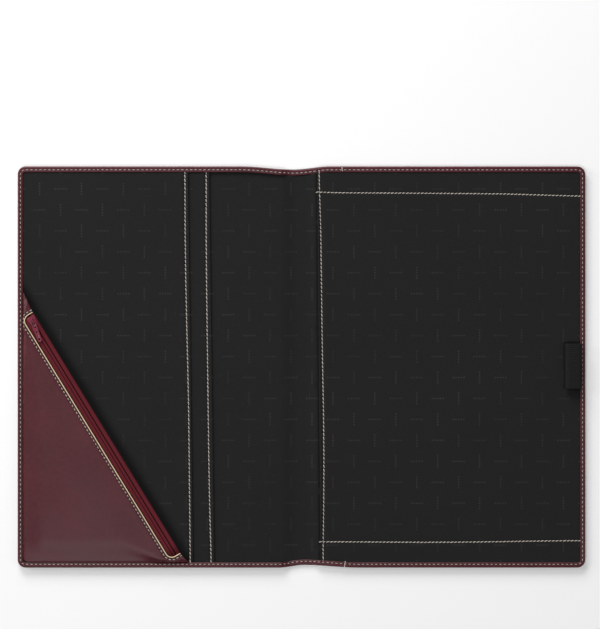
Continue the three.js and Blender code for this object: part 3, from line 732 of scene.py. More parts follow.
# %% [markdown]
# ## Board and lining
#
# A thin grey board stiffens each cover. It is never seen, but it gives the lining its step beside the spine.
# The lining drops over that step by a smooth height function, and runs on to the middle of the spine. Its net
# is finer there, because that part bends.

# %% Boards
FRONT, SPINE, BACK = "front_cover", "spine", "back_cover"
BOARD_TOP, BOARD_THICKNESS = 2.6, 1.5


def cover_outline(inset, side, start):
    """Outline of one cover's inner sheets, from start mm off the spine's middle to the fore edge."""
    edge = [p for p, _ in folio_edge(inset, side) if abs(p.x) > start + 0.5]
    head, tail = edge[0], edge[-1]
    return [Vector((side * start, head.y)), *edge, Vector((side * start, tail.y))]


def level_at(z):
    """The height function of a level sheet."""
    return lambda x, y: np.full(len(x), z)


for side, body in ((-1, FRONT), (1, BACK)):
    name = body.split("_")[0]
    outline = cover_outline(1.5, side, 17.5)
    board = cut_sheet(f"{name}_stiffener", outline, level_at(BOARD_TOP), BOARD_THICKNESS, BOARD, spacing=20.0)
    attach(board, body)
    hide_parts(f"{body.split('_')[0]}_board")
    print(board.name, len(board.data.polygons), "faces")


# %% Lining
LINING_THICKNESS = 0.38
PANEL_INSET = 1.4  # of lining and pockets, under the hem


def lining_top(x, y):
    """Low in the spine, and up over the boards."""
    return 1.45 + 1.65 * smooth(4.0, 18.0, np.abs(x))


def in_middle(p):
    """True on the middle of the spine, where the two halves meet."""
    return abs(p.x) < 1e-4


linings = {}
for side, body in ((-1, FRONT), (1, BACK)):
    name = body.split("_")[0]
    outline = [p for p, _ in folio_edge(PANEL_INSET, side)]
    rows = up_rows(side * np.arange(1.5, 21, 1.5), np.arange(-166, 167, 7.0))
    lining = cut_sheet(
        f"{name}_lining_cloth", outline, lining_top, LINING_THICKNESS, LINING, 7.0, rows, square=in_middle
    )
    linings[body] = lining
print("lining faces:", [len(o.data.polygons) for o in linings.values()])

# %% [markdown]
# ## Pockets
#
# Each flat pocket is a panel of the lining cloth whose free edge is turned under and stitched, so the edge
# stands up a little and the seam beside it lies in a furrow. The pad's pocket has such a seam on its left,
# and two more across it, as far apart as a pad is tall. No seam was sewn quite straight: each strays from its
# line by offsets of a few tenths of a millimetre, given at even steps along it.

# %% Seams of the pockets
EDGE_TO_SEAM = 2.9
UPRIGHT_REACH, CROSS_REACH = 157, 242  # where the lists of offsets begin and end


def leaning(x, lean):
    """A free edge that leans from head to tail."""
    return lambda y: x - lean * np.asarray(y, float) / HALF_HEIGHT


def wandering(path, reach, offsets):
    """A seam that strays a little from its path, as hand-guided seams do."""
    return lambda t: path(t) + np.interp(t, np.linspace(-reach, reach, len(offsets)), offsets)


NARROW_EDGE = leaning(-95.0, 2.2)
WIDE_EDGE = leaning(-76.8, 2.2)
PAD_EDGE = leaning(14.9, 1.5)


def upright(edge, gap, *offsets):
    """The seam beside a free edge."""
    return wandering(lambda y: edge(y) + gap, UPRIGHT_REACH, offsets)


NARROW_SEAM = upright(NARROW_EDGE, -EDGE_TO_SEAM, 0.28, 0.42, 0.5, 0.57, 0.3, -0.2, -0.5, -0.48, -0.1)
WIDE_SEAM = upright(WIDE_EDGE, -EDGE_TO_SEAM, -0.1, -0.7, -0.88, -0.9, -0.9, -0.9, -0.9, -0.65, -0.1)
PAD_SEAM = upright(PAD_EDGE, EDGE_TO_SEAM, -0.6, 0.3, 0.82, 0.8, 0.4, 0.1, 0.0, -0.2, -1.1)
PAD_HEAD_SEAM = wandering(
    lambda x: 149.2 - 0.0126 * (np.asarray(x, float) - 110), CROSS_REACH, (0, 0, 0, 0.5, -0.5, 0.0, 0.3, -0.8)
)
PAD_TAIL_SEAM = wandering(
    lambda x: -150.4 + 0.9 * smooth(120, 235, x), CROSS_REACH, (0, 0, 0, 0.5, 0.2, -0.2, 0.0, 0.3)
)


def free_edge_fold(gap, height=0.75):
    """Height of a turned and stitched edge, by distance from the edge."""
    ridge = height * np.exp(-(((gap - 0.8) / 1.35) ** 2))
    return ridge + 0.25 * np.exp(-((np.maximum(gap - 6.0, 0) / 9.0) ** 2)) * smooth(3.4, 6.0, gap)


def drawn_in(gap, depth=0.42, reach=0.55):
    """Furrow of a seam, with the cloth swelling on both sides of it."""
    return -depth * np.exp(-((gap / reach) ** 2)) + 0.14 * np.exp(-(((gap - 2.4) / 1.5) ** 2))


def down_seam(seam, values, offset=0.0):
    """Points along an upright seam, or beside it."""
    return [Vector((float(seam(y)) + offset, y)) for y in values]


def across_seam(seam, values, offset=0.0):
    """Points along a seam that runs across, or beside it."""
    return [Vector((x, float(seam(x)) + offset)) for x in values]


print(f"from pad seam to pad seam at x = 110: {float(PAD_HEAD_SEAM(110)) - float(PAD_TAIL_SEAM(110)):.1f} mm")


# %% Front pockets
PANEL_THICKNESS = 0.48
FOLD_ROWS = (0.35, 0.8, 1.3, 5.8, 7.2)
UPRIGHT_ROWS = (-1.1, -0.7, -0.35, 0, 0.35, 0.7, 1.1)
CROSS_ROWS = (-2.4, -1.5, -0.9, -0.45, 0, 0.45, 0.9, 1.5, 2.4)
DOWN = np.linspace(169.5, -169.5, 100)


def pocket_cloth(name, edge, seam, side, upper, cross_seams=(), painted_shadows=(), extra_rows=()):
    """A panel from its free edge to the fore edge on one side, with its seams. Returns it and its surface."""
    rim = [p for p, _ in folio_edge(PANEL_INSET, side) if side * p.x > side * float(edge(p.y)) + 1.0]
    outline = [*down_seam(edge, [rim[0].y]), *rim, *down_seam(edge, [rim[-1].y])]
    rows = [down_seam(edge, DOWN, side * o) for o in FOLD_ROWS]
    rows += [down_seam(seam, DOWN, o) for o in UPRIGHT_ROWS] + list(extra_rows)
    rows += [across_seam(cross, np.arange(24, 241, 3.2), o) for cross in cross_seams for o in CROSS_ROWS]

    def top(x, y):
        ease = smooth(171, 166, np.abs(y))
        height = upper + (free_edge_fold(side * (x - edge(y))) + drawn_in(np.abs(x - seam(y)))) * ease
        for cross in cross_seams:
            height = height + drawn_in(np.abs(y - cross(x)), 0.36)
        return height

    # painted shade along the seams' furrows, and the painted shadows given
    dark = [down_seam(seam, DOWN), *painted_shadows, *(across_seam(c, np.arange(14, 241, 4.0)) for c in cross_seams)]
    panel = cut_sheet(name, outline, top, PANEL_THICKNESS, LINING, 7.0, rows, shaded_paths=dark)
    width = (FORE_EDGE - abs(float(edge(0)))) * MM
    return panel, top


def beside_zip(offset):
    """A row of net points on the lining's side of the zip, where the corner pocket's shadow is painted."""
    steps = np.arange(1 - 0.6 * offset, CORNER_RUN + 0.6 * offset, 4.0)
    row = [ZIP_TOP + ZIP_WAY * s - ZIP_IN * offset for s in steps]
    return [p for p in row if p.x < float(NARROW_EDGE(p.y)) - 8.0]


WIDE_TOP, NARROW_TOP, PAD_TOP = 3.65, 4.20, 3.65  # the panels' upper faces, away from their folds
ZIP_SHADE = 4.6  # how far the corner pocket's painted shadow reaches on the lining

surfaces = {}
zip_rows = [beside_zip(offset) for offset in (0.4, 2.0, 3.8, 5.8, 8.2, 11.0)]
for name, edge, seam, upper, rows in (
    ("wide", WIDE_EDGE, WIDE_SEAM, WIDE_TOP, ()),
    ("narrow", NARROW_EDGE, NARROW_SEAM, NARROW_TOP, zip_rows),
):
    panel, surfaces[name] = pocket_cloth(f"{name}_pocket_cloth", edge, seam, -1, upper, extra_rows=rows)
    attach(panel, FRONT)
    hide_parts(f"{name}_pocket_panel")
# a painted shadow on the narrow pocket's cloth beside the corner pocket's zip
mark_painted_shade(panel, [[ZIP_TOP, ZIP_FOOT]], ZIP_SHADE)

# %% Pad pocket
LOOP_SHADOW_X = 225.6  # where the pen loop's painted shadow lies on the cloth round it
loop_shadow = [Vector(p) for p in ((238, 21.2), (226.2, 21.2), (LOOP_SHADOW_X, 20.4), (LOOP_SHADOW_X, -18.4), (238, -18.9))]
loop_shadow_rows = up_rows(LOOP_SHADOW_X + np.array([-1.6, -1.0, -0.5, 0, 0.5, 1.0]), np.arange(-21, 24, 1.5))
loop_shadow_rows += cross_rows(np.arange(227.6, 239, 1.5), (22.4, 21.8, 21.2, 20.6, -18.4, -18.9, -19.5))
PAD_CROSS_SEAMS = PAD_HEAD_SEAM, PAD_TAIL_SEAM
pad_panel, surfaces["pad"] = pocket_cloth(
    "pad_pocket_cloth", PAD_EDGE, PAD_SEAM, 1, PAD_TOP, PAD_CROSS_SEAMS, [loop_shadow], loop_shadow_rows
)
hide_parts("pad_pocket_panel")
# a painted shadow on the lining beside the pad pocket's free edge
mark_painted_shade(linings[BACK], [[Vector((float(PAD_EDGE(y)) - 0.2, y)) for y in (-171, 171)]], 1.5)
print("pad pocket:", len(pad_panel.data.polygons), "faces")

# %% [markdown]
# ## The zipped corner pocket
#
# Its leather has a long window with round inner corners, open on the diagonal. All of it is laid out in zip
# coordinates: how far along the diagonal, and how far in from the zip's edge. The leather rises from the
# hem over a soft shoulder, then lies over the zip. It isn't dead flat: slow noise gives it the hollows of a
# pocket.

# %% Zip coordinates
ZIP_SET_IN = 2.3
WINDOW_START, WINDOW_END = 21.65, 263.21
WINDOW_DEPTH, WINDOW_CORNER = 10.3, 5.3


def zip_point(s, t):
    return ZIP_TOP + ZIP_WAY * s + ZIP_IN * (ZIP_SET_IN + t)


def window_path(margin, opening=0.0):
    """The window's edge, grown by a margin: in at the upper end, along the zip, and out at the lower end."""
    radius, depth = WINDOW_CORNER + margin, WINDOW_DEPTH + margin
    start, end = WINDOW_START - margin, WINDOW_END + margin
    bends = [(k / 10) * math.pi / 2 for k in range(11)]
    turns = [(radius * (1 - math.cos(a)), depth - radius + radius * math.sin(a)) for a in bends]
    upper = [zip_point(start + s, t) for s, t in turns]
    lower = [zip_point(end - s, t) for s, t in turns]
    return [zip_point(start, opening), *upper, *lower[::-1], zip_point(end, opening)]


# %% Back of the corner pocket
BACK_TOP, BACK_THICKNESS = 4.6, 0.35
from_hem_corner = (0.2, 205.0), (0.2, 3.5), (1.2, 1.2), (3.5, 0.2), (126.0, 0.2)
back_edge = [
    zip_point(16.0, 0.6 - ZIP_SET_IN),
    *[Vector((-HEM_INNER_X + a, -HEM_INNER_Y + b)) for a, b in from_hem_corner],
    zip_point(CORNER_RUN - 12.0, 0.6 - ZIP_SET_IN),
]
pocket_back = cut_sheet("corner_pocket_lining", back_edge, level_at(BACK_TOP), BACK_THICKNESS, LINING, 9.0)
# a painted shadow on the corner pocket's back beside the zip
mark_painted_shade(pocket_back, [[ZIP_TOP, ZIP_FOOT]], ZIP_SHADE)
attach(pocket_back, FRONT)
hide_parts("corner_pocket_back")
print("corner pocket's back:", len(pocket_back.data.polygons), "faces")

# %% Corner leather
CORNER_TOP = 7.4  # upper face, over the zip
CORNER_RIM = 5.45  # upper face, at the hem
CALF_THICKNESS = 0.8
FROM_HEM_X, FROM_HEM_Y = 0.75, 0.6  # between the hem's inner edge and the leather
WINDOW_MARGIN, ZIP_SEAM_MARGIN = 0.95, 2.6  # of the cut edge and the seam


def zip_seam():
    """The seam round the window. Beside the hem it has to squeeze past."""
    path = along(window_path(ZIP_SEAM_MARGIN, 0.6), 2.0)
    return [Vector((max(p.x, -HEM_INNER_X + 1.2), max(p.y, -HEM_INNER_Y + 1.5))) for p in path]


def corner_outline():
    """The leather's outline, down the left side and back round the window, and the window's edge alone."""
    left, low = -HEM_INNER_X + FROM_HEM_X, -HEM_INNER_Y + FROM_HEM_Y
    upper, lower = zip_point(WINDOW_START, 0.0), zip_point(WINDOW_END, 0.0)
    tip = ZIP_TOP.lerp(upper, FROM_HEM_X / (upper.x - ZIP_TOP.x))
    foot = ZIP_FOOT.lerp(lower, FROM_HEM_Y / (lower.y - ZIP_FOOT.y))
    bend, angles = 4.6, (1.57, 1.2, 0.8, 0.4, 0.0)
    corner = [Vector((left + bend * (1 - math.sin(a)), low + bend * (1 - math.cos(a)))) for a in angles]
    window = window_path(WINDOW_MARGIN, 0.0)
    return [tip, *corner, foot, *window[::-1]], window


corner_edge, window_edge = corner_outline()
seam_line = zip_seam()


def corner_top(x, y):
    """Upper face: a broad shoulder up from the hem, the seam's furrow, a roll at the window, and hollows."""
    flat = np.stack([x, y], axis=1)
    from_window = distance_to(window_edge, flat)
    reach = 1.2 + 19.0 * smooth(1.0, 32.0, from_window)
    shoulder = smooth(0, 1, (x + HEM_INNER_X - 0.4) / reach) * smooth(0, 1, (y + HEM_INNER_Y - 0.2) / reach)
    furrow = -0.26 * np.exp(-((distance_to(seam_line, flat) / 0.6) ** 2))
    roll = 0.22 * np.exp(-((from_window / 0.9) ** 2))
    slow = np.array([noise.noise(Vector((a * 0.021, b * 0.021, 3.7))) for a, b in flat])
    creases = np.array([noise.noise(Vector((a * 0.11 + b * 0.05, b * 0.035, 1.3))) for a, b in flat])
    low_down = smooth(-60, -140, y)
    hollows = (0.6 * slow + (0.05 + 0.08 * low_down) * creases) * smooth(0, 18, from_window)
    from_hem = np.minimum(x + HEM_INNER_X - FROM_HEM_X, y + HEM_INNER_Y - FROM_HEM_Y)
    rim_press = -0.2 * np.exp(-(from_hem**2))
    return CORNER_RIM + (CORNER_TOP - CORNER_RIM) * shoulder + furrow + roll + hollows * shoulder + rim_press


left_rows = -HEM_INNER_X + FROM_HEM_X + np.array([0.6, 1.3, 2.2, 3.2, 4.6, 7.0])
low_rows = -HEM_INNER_Y + FROM_HEM_Y + np.array([0.6, 1.3, 2.2, 3.2, 4.4, 6.0])
rim_rows = up_rows(left_rows, np.arange(-166, 60, 4.0)) + cross_rows(np.arange(-237, -104, 4.0), low_rows)
window_rows = [along(window_path(m, 0.6), 3.0) for m in (1.45, 1.9, 2.3, 2.6, 2.9, 3.4, 4.2)]


def inside_corner(rows, margin=0.25):
    """Keeps the points of rows that lie inside the leather."""
    ring = flat_array(corner_edge)
    kept = []
    for row in rows:
        good = []
        for p in row:
            crossings = 0
            for (ax, ay), (bx, by) in zip(ring, np.roll(ring, -1, axis=0)):
                if (ay > p.y) != (by > p.y) and p.x < (bx - ax) * (p.y - ay) / (by - ay) + ax:
                    crossings += 1
            if crossings % 2:
                good.append(p)
        if good:
            gap = distance_to(corner_edge, [tuple(p) for p in good], closed=True)
            kept.append([p for p, g in zip(good, gap) if g > margin])
    return kept


corner_leather = cut_sheet(
    "corner_pocket_calf",
    corner_edge,
    corner_top,
    CALF_THICKNESS,
    CALF,
    spacing=4.0,
    rows=inside_corner(rim_rows + window_rows),
    # painted shade in the furrow of the zip seam
    shaded_paths=[seam_line],
)
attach(corner_leather, FRONT)
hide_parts("corner_pocket_leather")
print("corner leather:", len(corner_leather.data.polygons), "faces")


# %% [markdown]
# ### Edging and tapes
#
# A thin cream edging follows the window. Both tapes are straight, so each is one section drawn along the
# zip: the inner tape with two ribs where the coil is sewn on, and the outer one folded down over the
# pocket's edge.

# %% Drawing a section along a path
def drawn(name, path, section, material, up=Vector((0, 0, 1))):
    """Carries a closed section of (sideways, height) pairs along a path of (x, y, z) points."""
    points, count = [], len(section)
    for k, p in enumerate(path):
        way = (path[min(k + 1, len(path) - 1)] - path[max(k - 1, 0)]).normalized()
        sideways = way.cross(up).normalized()
        points += [tuple(p + sideways * a + up * b) for a, b in section]
    return add_piece(name, points, bands(len(path), count) + ends(len(path), count), material)


def lifted(path, z):
    """A flat path at a height."""
    return [Vector((p.x, p.y, z)) for p in path]


# %% Edging
EDGING_MARGIN, EDGING_LEVEL = 0.48, 7.12
ring = [(0.39 * math.cos(a), 0.38 * math.sin(a)) for a in np.linspace(0, 2 * math.pi, 11)[:-1]]
edging_path = lifted(along(window_path(EDGING_MARGIN, 0.1), 2.5), EDGING_LEVEL)
edging = drawn("window_edging", edging_path, ring, PIPING)
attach(edging, FRONT)
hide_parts("corner_pocket_piping")
print("edging:", len(edging.data.polygons), "faces")

# %% Tapes
inner_section = [
    (4.25, 6.16), (4.25, 6.30), (4.45, 6.38), (4.90, 6.36), (5.15, 6.46), (5.50, 6.62), (5.90, 6.60),
    (6.20, 6.42), (6.50, 6.22), (6.80, 6.42), (7.10, 6.58), (7.45, 6.62), (7.80, 6.54), (8.10, 6.38),
    (8.60, 6.32), (10.3, 6.32), (11.6, 6.32), (11.6, 6.14), (8.0, 6.14),
]
outer_section = [
    (3.58, 6.16), (3.58, 6.36), (3.40, 6.50), (3.05, 6.60), (2.60, 6.58), (1.80, 6.55), (1.05, 6.46),
    (0.50, 6.25), (0.18, 5.92), (0.06, 5.45), (0.06, 4.68), (0.42, 4.68), (0.44, 5.5), (0.62, 5.95),
    (1.15, 6.14), (2.0, 6.15),
]


def trimmed(made, corner, inwards):
    """Cuts away what lies outside a plane, and closes the cut."""
    with edited(made.data) as work:
        every = list(work.verts) + list(work.edges) + list(work.faces)
        bmesh.ops.bisect_plane(work, geom=every, plane_co=corner, plane_no=inwards, clear_inner=True)
        bmesh.ops.holes_fill(work, edges=[e for e in work.edges if e.is_boundary])


def tape(name, section, node, painted_shade_lines):
    """A tape along the zip, cut round at both ends, a little outside the window."""
    line = [zip_point(s, -ZIP_SET_IN) for s in (WINDOW_START - 3, WINDOW_END + 3)]
    made = drawn(name, lifted(along(line, 12.0), 0.0), [(t + ZIP_SET_IN, z) for t, z in section], TAPE)
    turn_at, reach = WINDOW_DEPTH - WINDOW_CORNER, WINDOW_CORNER + 0.5
    for way, s in ((-1, WINDOW_START + WINDOW_CORNER), (1, WINDOW_END - WINDOW_CORNER)):
        middle = zip_point(s, turn_at)
        for angle in (0, 25, 50, 75):
            out = way * math.cos(math.radians(angle)), math.sin(math.radians(angle))
            point = zip_point(s + out[0] * reach, turn_at + out[1] * reach)
            inwards = (middle - point).normalized()
            trimmed(made, (point.x * MM, point.y * MM, 0), (inwards.x, inwards.y, 0))
    # painted shade in the tape's grooves and in the gap between the tapes
    mark_painted_shade(made, [[zip_point(0, t), zip_point(300, t)] for t in painted_shade_lines], 0.45)
    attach(made, FRONT)
    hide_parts(node)
    return made


inner_tape = tape("inner_zip_tape", inner_section, "zip_inner_tape", (6.5, 6.5, 10.1))
outer_tape = tape("outer_zip_tape", outer_section, "zip_outer_tape", (3.58,))
print("tapes:", len(inner_tape.data.polygons), len(outer_tape.data.polygons), "faces")


# %% [markdown]
# ### Slider and pull
#
# Their solids already have the right shape, but sharp edges, which no enamelled casting has. We copy each
# mesh, merge its loose triangles, dissolve the flat ones into whole faces, and round every edge with a
# small bevel.

# %% Rounded copies
def evaluated_mesh(made):
    """What an object's modifiers make of it, as a plain mesh."""
    bpy.context.view_layer.update()
    return bpy.data.meshes.new_from_object(made.evaluated_get(bpy.context.evaluated_depsgraph_get()))


def rounded_copy(node, name, radius, material, body):
    """A copy of a solid's mesh with round edges, which takes the solid's place."""
    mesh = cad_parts[node].data.copy()
    mesh.name = name
    with edited(mesh) as work:
        bmesh.ops.remove_doubles(work, verts=work.verts, dist=1e-6)
        bmesh.ops.dissolve_limit(work, angle_limit=math.radians(1.5), verts=work.verts, edges=work.edges)
        bmesh.ops.recalc_face_normals(work, faces=work.faces)
    mesh.materials.clear()
    mesh.materials.append(material)
    made = put(name, mesh)
    bevel = made.modifiers.new("soft edges", "BEVEL")
    bevel.width = radius * MM
    bevel.segments = 2
    bevel.limit_method = "ANGLE"
    bevel.angle_limit = math.radians(35)
    rounded = evaluated_mesh(made)
    made.modifiers.clear()
    made.data = rounded
    smooth_up_to(rounded, 40)
    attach(made, body)
    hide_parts(node)
    return made


slider = rounded_copy("zip_slider", "slider_body", 0.14, ENAMEL, "slider")
pull_tab = rounded_copy("zip_pull", "pull_tab", 0.16, ENAMEL, "pull")
print("slider and pull:", len(slider.data.polygons), len(pull_tab.data.polygons), "faces")

# %% Coils, whose solids are right as they are
for node in ("zip_inner_coil", "zip_outer_coil"):
    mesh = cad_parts[node].data
    mesh.materials.clear()
    mesh.materials.append(NYLON)
    print(node, "keeps its solid:", len(mesh.polygons), "faces")

# %% [markdown]
# ## The pen loop
#
# Elastic webbing has ribs across it, one for each pair of weft threads. We draw the loop's section along
# the pen and let its size breathe by a tenth of a millimetre at each rib, so that the ribs catch light like
# real ones.

# %% The loop's section
RIB_PITCH, RIB_DEPTH = 1.7, 0.12
LOOP_LENGTH, LOOP_MIDDLE = 38.7, 1.0
LOOP_X, LOOP_Z = 226.2, 3.70
LOOP_RADIUS, WEBBING = 3.2, 0.9
SECTION_POINTS = 64


def evenly(points, count):
    """Points at equal steps round a closed outline."""
    pts = np.array(points + points[:1], float)
    steps = np.concatenate([[0], np.cumsum(np.linalg.norm(np.diff(pts, axis=0), axis=1))])
    where = np.linspace(0, steps[-1], count, endpoint=False)
    return np.stack([np.interp(where, steps, pts[:, 0]), np.interp(where, steps, pts[:, 1])], axis=1)


def loop_section(radius, rest):
    """Half a round towards the spine, and on the other side the points of rest, from below up to the top."""
    turns = np.linspace(math.pi / 2, 0, 8)
    below, above = (
        [(LOOP_RADIUS - radius * math.sin(a), LOOP_RADIUS + way * radius * math.cos(a)) for a in turns]
        for way in (-1, 1)
    )
    return evenly(below + rest + above[:0:-1], SECTION_POINTS)


loop_outside = loop_section(
    LOOP_RADIUS,
    [(12.8, 0.0), (13.0, 0.3), (13.0, 1.6), (14.0, 2.2), (14.3, 3.3)]
    + [(14.2, 4.7), (13.4, 5.8), (11.8, 6.3), (8.4, 6.4)],
)
loop_inside = loop_section(
    LOOP_RADIUS - WEBBING,
    [(11.4, 0.9), (11.9, 1.4), (12.2, 2.2), (13.2, 3.0), (13.3, 3.6)]
    + [(13.2, 4.4), (12.7, 5.1), (11.6, 5.4), (8.4, 5.5)],
)


def pen_loop():
    """The webbing: an outer and an inner ring at each station along the pen, joined up."""
    middle = loop_inside.mean(axis=0)
    stations = np.arange(0, LOOP_LENGTH + 0.01, RIB_PITCH / 5)
    rings, count = [], len(loop_outside)
    for along_y in stations:
        rib = RIB_DEPTH * (math.cos(2 * math.pi * along_y / RIB_PITCH) - 1)
        end = 0.12 * math.exp(-min(along_y, LOOP_LENGTH - along_y) / 0.4)
        for loop, sign in ((loop_outside, 1), (loop_inside, -1)):
            away = loop - middle
            away /= np.linalg.norm(away, axis=1)[:, None]
            moved = loop + away * (rib * 0.9 - end) * sign
            y = LOOP_MIDDLE - LOOP_LENGTH / 2 + along_y
            rings.append([(LOOP_X + max(a, 0.0), y, LOOP_Z + max(b, 0.0)) for a, b in moved])
    points = [p for r in rings for p in r]
    last = len(rings) - 2
    joined = [(r + 2, r) if r % 2 else (r, r + 2) for r in range(last)]  # the inner rings face inwards
    joined += [(0, 1), (last, last + 1)]
    faces = [
        (a * count + k, a * count + (k + 1) % count, b * count + (k + 1) % count, b * count + k)
        for a, b in joined
        for k in range(count)
    ]
    made = add_piece("pen_loop_webbing", points, faces, ELASTIC)
    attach(made, BACK)
    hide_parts("pen_loop")
    return made


loop = pen_loop()
print("pen loop:", len(loop.data.polygons), "faces")

# %% [markdown]
# ## Thread
#
# A seam is the same stitch over and over along a path: the natural work for Geometry Nodes. The tree
# resamples a path to the pitch of the stitches, puts one grain-shaped stitch on each point, turned along
# the path, and varies their size a little from a fixed seed. The result is turned into a plain mesh, one
# for each body.

# %% The seam tree
seam_tree = bpy.data.node_groups.new("seam", "GeometryNodeTree")
for label, kind, value in (
    ("Path", "NodeSocketGeometry", None),
    ("Pitch", "NodeSocketFloat", 0.0038),
    ("Stitch length", "NodeSocketFloat", 0.003),
    ("Thread width", "NodeSocketFloat", 0.0009),
    ("Slant", "NodeSocketFloat", 0.0),
    ("Seed", "NodeSocketInt", 5),
    ("Thread", "NodeSocketMaterial", None),
):
    socket = seam_tree.interface.new_socket(name=label, in_out="INPUT", socket_type=kind)
    if value is not None:
        socket.default_value = value
seam_tree.interface.new_socket(name="Stitches", in_out="OUTPUT", socket_type="NodeSocketGeometry")
given = seam_tree.nodes.new("NodeGroupInput").outputs
ready = seam_tree.nodes.new("NodeGroupOutput")
steps = add_node(
    seam_tree, "GeometryNodeResampleCurve", {"Curve": given["Path"], "Length": given["Pitch"]}, mode="LENGTH"
)
tangent = seam_tree.nodes.new("GeometryNodeInputTangent").outputs[0]
heading = add_node(
    seam_tree, "FunctionNodeAlignRotationToVector", {"Vector": tangent}, axis="X", pivot_axis="Z"
).outputs[0]
bead = add_node(seam_tree, "GeometryNodeMeshUVSphere", {"Segments": 8, "Rings": 6, "Radius": 0.5})
size = add_node(
    seam_tree,
    "ShaderNodeCombineXYZ",
    {0: given["Stitch length"], 1: given["Thread width"], 2: given["Thread width"]},
).outputs[0]
lean = add_node(seam_tree, "ShaderNodeCombineXYZ", {2: given["Slant"]}).outputs[0]
stitch = add_node(
    seam_tree, "GeometryNodeTransform", {"Geometry": bead.outputs["Mesh"], "Scale": size, "Rotation": lean}
)
vary = add_node(
    seam_tree,
    "FunctionNodeRandomValue",
    {"Min": (0.93, 0.9, 0.9), "Max": (1.05, 1.08, 1.05), "Seed": given["Seed"]},
    data_type="FLOAT_VECTOR",
).outputs[0]
placed = add_node(
    seam_tree,
    "GeometryNodeInstanceOnPoints",
    {"Points": steps.outputs[0], "Instance": stitch.outputs[0], "Rotation": heading, "Scale": vary},
)
real = add_node(seam_tree, "GeometryNodeRealizeInstances", {"Geometry": placed.outputs[0]})
shaded = add_node(seam_tree, "GeometryNodeSetShadeSmooth", {0: real.outputs[0]})
painted = add_node(
    seam_tree, "GeometryNodeSetMaterial", {"Geometry": shaded.outputs[0], "Material": given["Thread"]}
)
seam_tree.links.new(painted.outputs[0], ready.inputs[0])
print("seam tree:", len(seam_tree.nodes), "nodes")


# %% Sewing
FACES_OF_STITCH = 48
SUNK, UNDER_LEVEL = 0.22, 0.35  # how deep a border stitch sits in its furrow, and its level on the underside


def sew(name, paths, pitch, length, width, slant=0.0, seed=5):
    """Stitches along several paths, as one plain mesh. Paths are lists of (x, y, z) in mm."""
    curve = bpy.data.curves.new(name, "CURVE")
    curve.dimensions = "3D"
    for path in paths:
        spline = curve.splines.new("POLY")
        spline.points.add(len(path) - 1)
        for point, p in zip(spline.points, path):
            point.co = (p[0] * MM, p[1] * MM, p[2] * MM, 1)
    guide = put(name + "_path", curve)
    modifier = guide.modifiers.new("seam", "NODES")
    modifier.node_group = seam_tree
    values = {
        "Pitch": pitch * MM,
        "Stitch length": length * MM,
        "Thread width": width * MM,
        "Slant": slant,
        "Seed": seed,
        "Thread": THREAD,
    }
    for item in seam_tree.interface.items_tree:
        if item.item_type == "SOCKET" and item.in_out == "INPUT" and item.name in values:
            modifier[item.identifier] = values[item.name]
    mesh = evaluated_mesh(guide)
    bpy.data.objects.remove(guide)
    mesh.name = name
    if not mesh.materials:
        mesh.materials.append(THREAD)
    print(f"{name}: {len(mesh.polygons) // FACES_OF_STITCH} stitches")
    return put(name, mesh)


def on_border(side, cover_level, under=False):
    """The border seam's path on one half of the hide, on its face or its back."""
    path = []
    for point, inwards in folio_edge(0.0, side):
        p = point + inwards * seam_inset(inwards)
        z = UNDER_LEVEL if under else hem_level(point.x, cover_level) + HEM_THICKNESS - SUNK
        path.append((p.x, p.y, z))
    return path


border = {}
for side, body, level in ((-1, FRONT, FRONT_HEM_LEVEL), (1, BACK, BACK_HEM_LEVEL)):
    name = body.split("_")[0]
    paths = [on_border(side, level), on_border(side, level, under=True)]
    border[body] = sew(f"{name}_border_stitches", paths, pitch=3.8, length=2.45, width=0.66, seed=7)


# %% Knots where the border seam begins and ends
KNOT_RISE = 0.95  # over the hem's lower face


def knot(x, sign, reach):
    """A few tight stitches across the border."""
    edge = sign * (HALF_HEIGHT - dip(HEAD_DIP if sign > 0 else TAIL_DIP, x))
    level = hem_level(x, BACK_HEM_LEVEL) + KNOT_RISE
    return [(x + 0.2 * t, edge - sign * t, level) for t in np.linspace(*reach, 5)]


both = [knot(34.5, 1, (1.4, 3.6)), knot(36.7, -1, (0.8, 4.9))]
knots = sew("border_knots", both, pitch=1.1, length=1.5, width=1.05, seed=3)
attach(knots, BACK)


# %% Pocket seams
THREAD_RISE = 0.26  # of a pocket stitch's middle over the cloth


def on_cloth(points, surface):
    """Lays a flat path on a pocket's surface, with half of the thread above it."""
    x, y = flat_array(points).T
    return [(a, b, c + THREAD_RISE) for a, b, c in zip(x, y, surface(x, y))]


def upright_seam(seam, pocket):
    """A seam's path on its pocket, from the head hem to the tail hem."""
    return on_cloth(down_seam(seam, np.linspace(167.2, -167.2, 160)), surfaces[pocket])


front_paths = [upright_seam(NARROW_SEAM, "narrow"), upright_seam(WIDE_SEAM, "wide")]
front_seams = sew(
    "front_pocket_stitches", front_paths, pitch=3.45, length=3.6, width=1.0, slant=0.2, seed=11
)
pad_path = [upright_seam(PAD_SEAM, "pad")]
pad_edge_seam = sew("pad_edge_stitches", pad_path, pitch=3.4, length=3.5, width=1.0, slant=0.2, seed=13)
pad_paths = [
    on_cloth(across_seam(seam, np.linspace(float(PAD_EDGE(seam(20))) + 0.2, 239.0, 160)), surfaces["pad"])
    for seam in PAD_CROSS_SEAMS
]
pad_seams = sew("pad_cross_stitches", pad_paths, pitch=3.2, length=3.3, width=0.95, slant=0.24, seed=17)
zip_path = [(*p, z + 0.12) for p, z in zip(seam_line, corner_top(*flat_array(seam_line).T))]
zip_stitches = sew("zip_seam_stitches", [zip_path], pitch=3.45, length=2.5, width=0.75, seed=19)
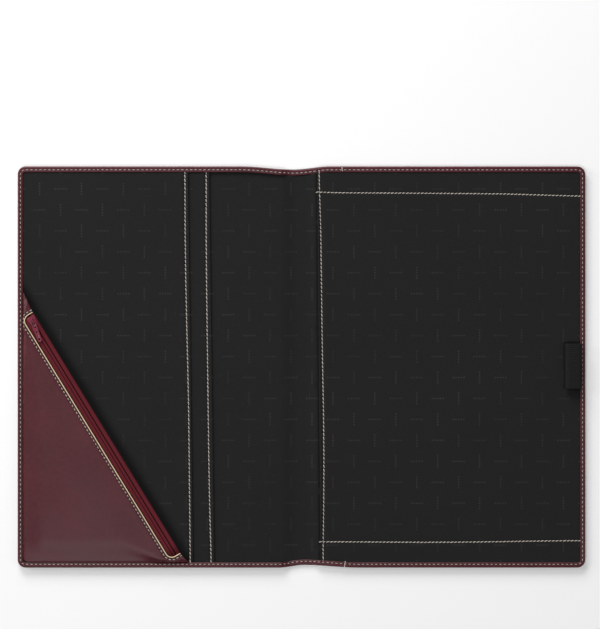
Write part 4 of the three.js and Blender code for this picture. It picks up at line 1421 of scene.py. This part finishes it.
for made, body in ((front_seams, FRONT), (pad_seams, BACK), (zip_stitches, FRONT)):
    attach(made, body)

# %% [markdown]
# ## The pieces at the spine
#
# The hide, the lining and what is sewn on them near the spine must bend with it. Here each of them has
# its placement baked into its mesh, and the solids that they stand in for are hidden.

# %% Bake the pieces at the spine
for made in (front_hide, linings[FRONT], border[FRONT]):
    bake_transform(made)
for made in (back_hide, linings[BACK], border[BACK], pad_panel, pad_edge_seam):
    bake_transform(made)
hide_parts("front_leather")
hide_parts("back_leather", "spine_leather")
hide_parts("front_lining")
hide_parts("back_lining", "spine_lining")


# %% [markdown]
# ## The table
#
# A pale sheet, a hair under the hide so that the two faces never fight. To the camera it is the sum of what
# the lamps give it and a faint glow, which lifts it to white and leaves the shadow at the folio's edges.

# %% Floor
def table():
    reach, level = 3, -0.0002
    mesh = bpy.data.meshes.new("table")
    corners = [(x * reach, y * reach, level) for x, y in ((-1, -1), (1, -1), (1, 1), (-1, 1))]
    mesh.from_pydata(corners, [], [(0, 1, 2, 3)])
    material, tree, shader, _ = new_material("pale table")
    shader.inputs["Base Color"].default_value = (0.95, 0.95, 0.95, 1)
    shader.inputs["Roughness"].default_value = 1.0
    shader.inputs["Specular IOR Level"].default_value = 0.0
    glow = add_node(tree, "ShaderNodeEmission", {"Color": (1, 1, 1, 1), "Strength": 0.14})
    lit = tree.nodes.new("ShaderNodeAddShader")
    tree.links.new(shader.outputs[0], lit.inputs[0])
    tree.links.new(glow.outputs[0], lit.inputs[1])
    seen = add_node(tree, "ShaderNodeMixShader", {1: shader.outputs[0], 2: lit.outputs[0]})
    rays = tree.nodes.new("ShaderNodeLightPath")
    camera_or_gloss = maths(tree, "MAXIMUM", rays.outputs["Is Camera Ray"], rays.outputs["Is Glossy Ray"])
    tree.links.new(camera_or_gloss, seen.inputs[0])
    tree.links.new(seen.outputs[0], tree.nodes["Material Output"].inputs["Surface"])
    mesh.materials.append(material)
    made = put("table", mesh)
    print("table:", 2 * reach, "m wide")


table()
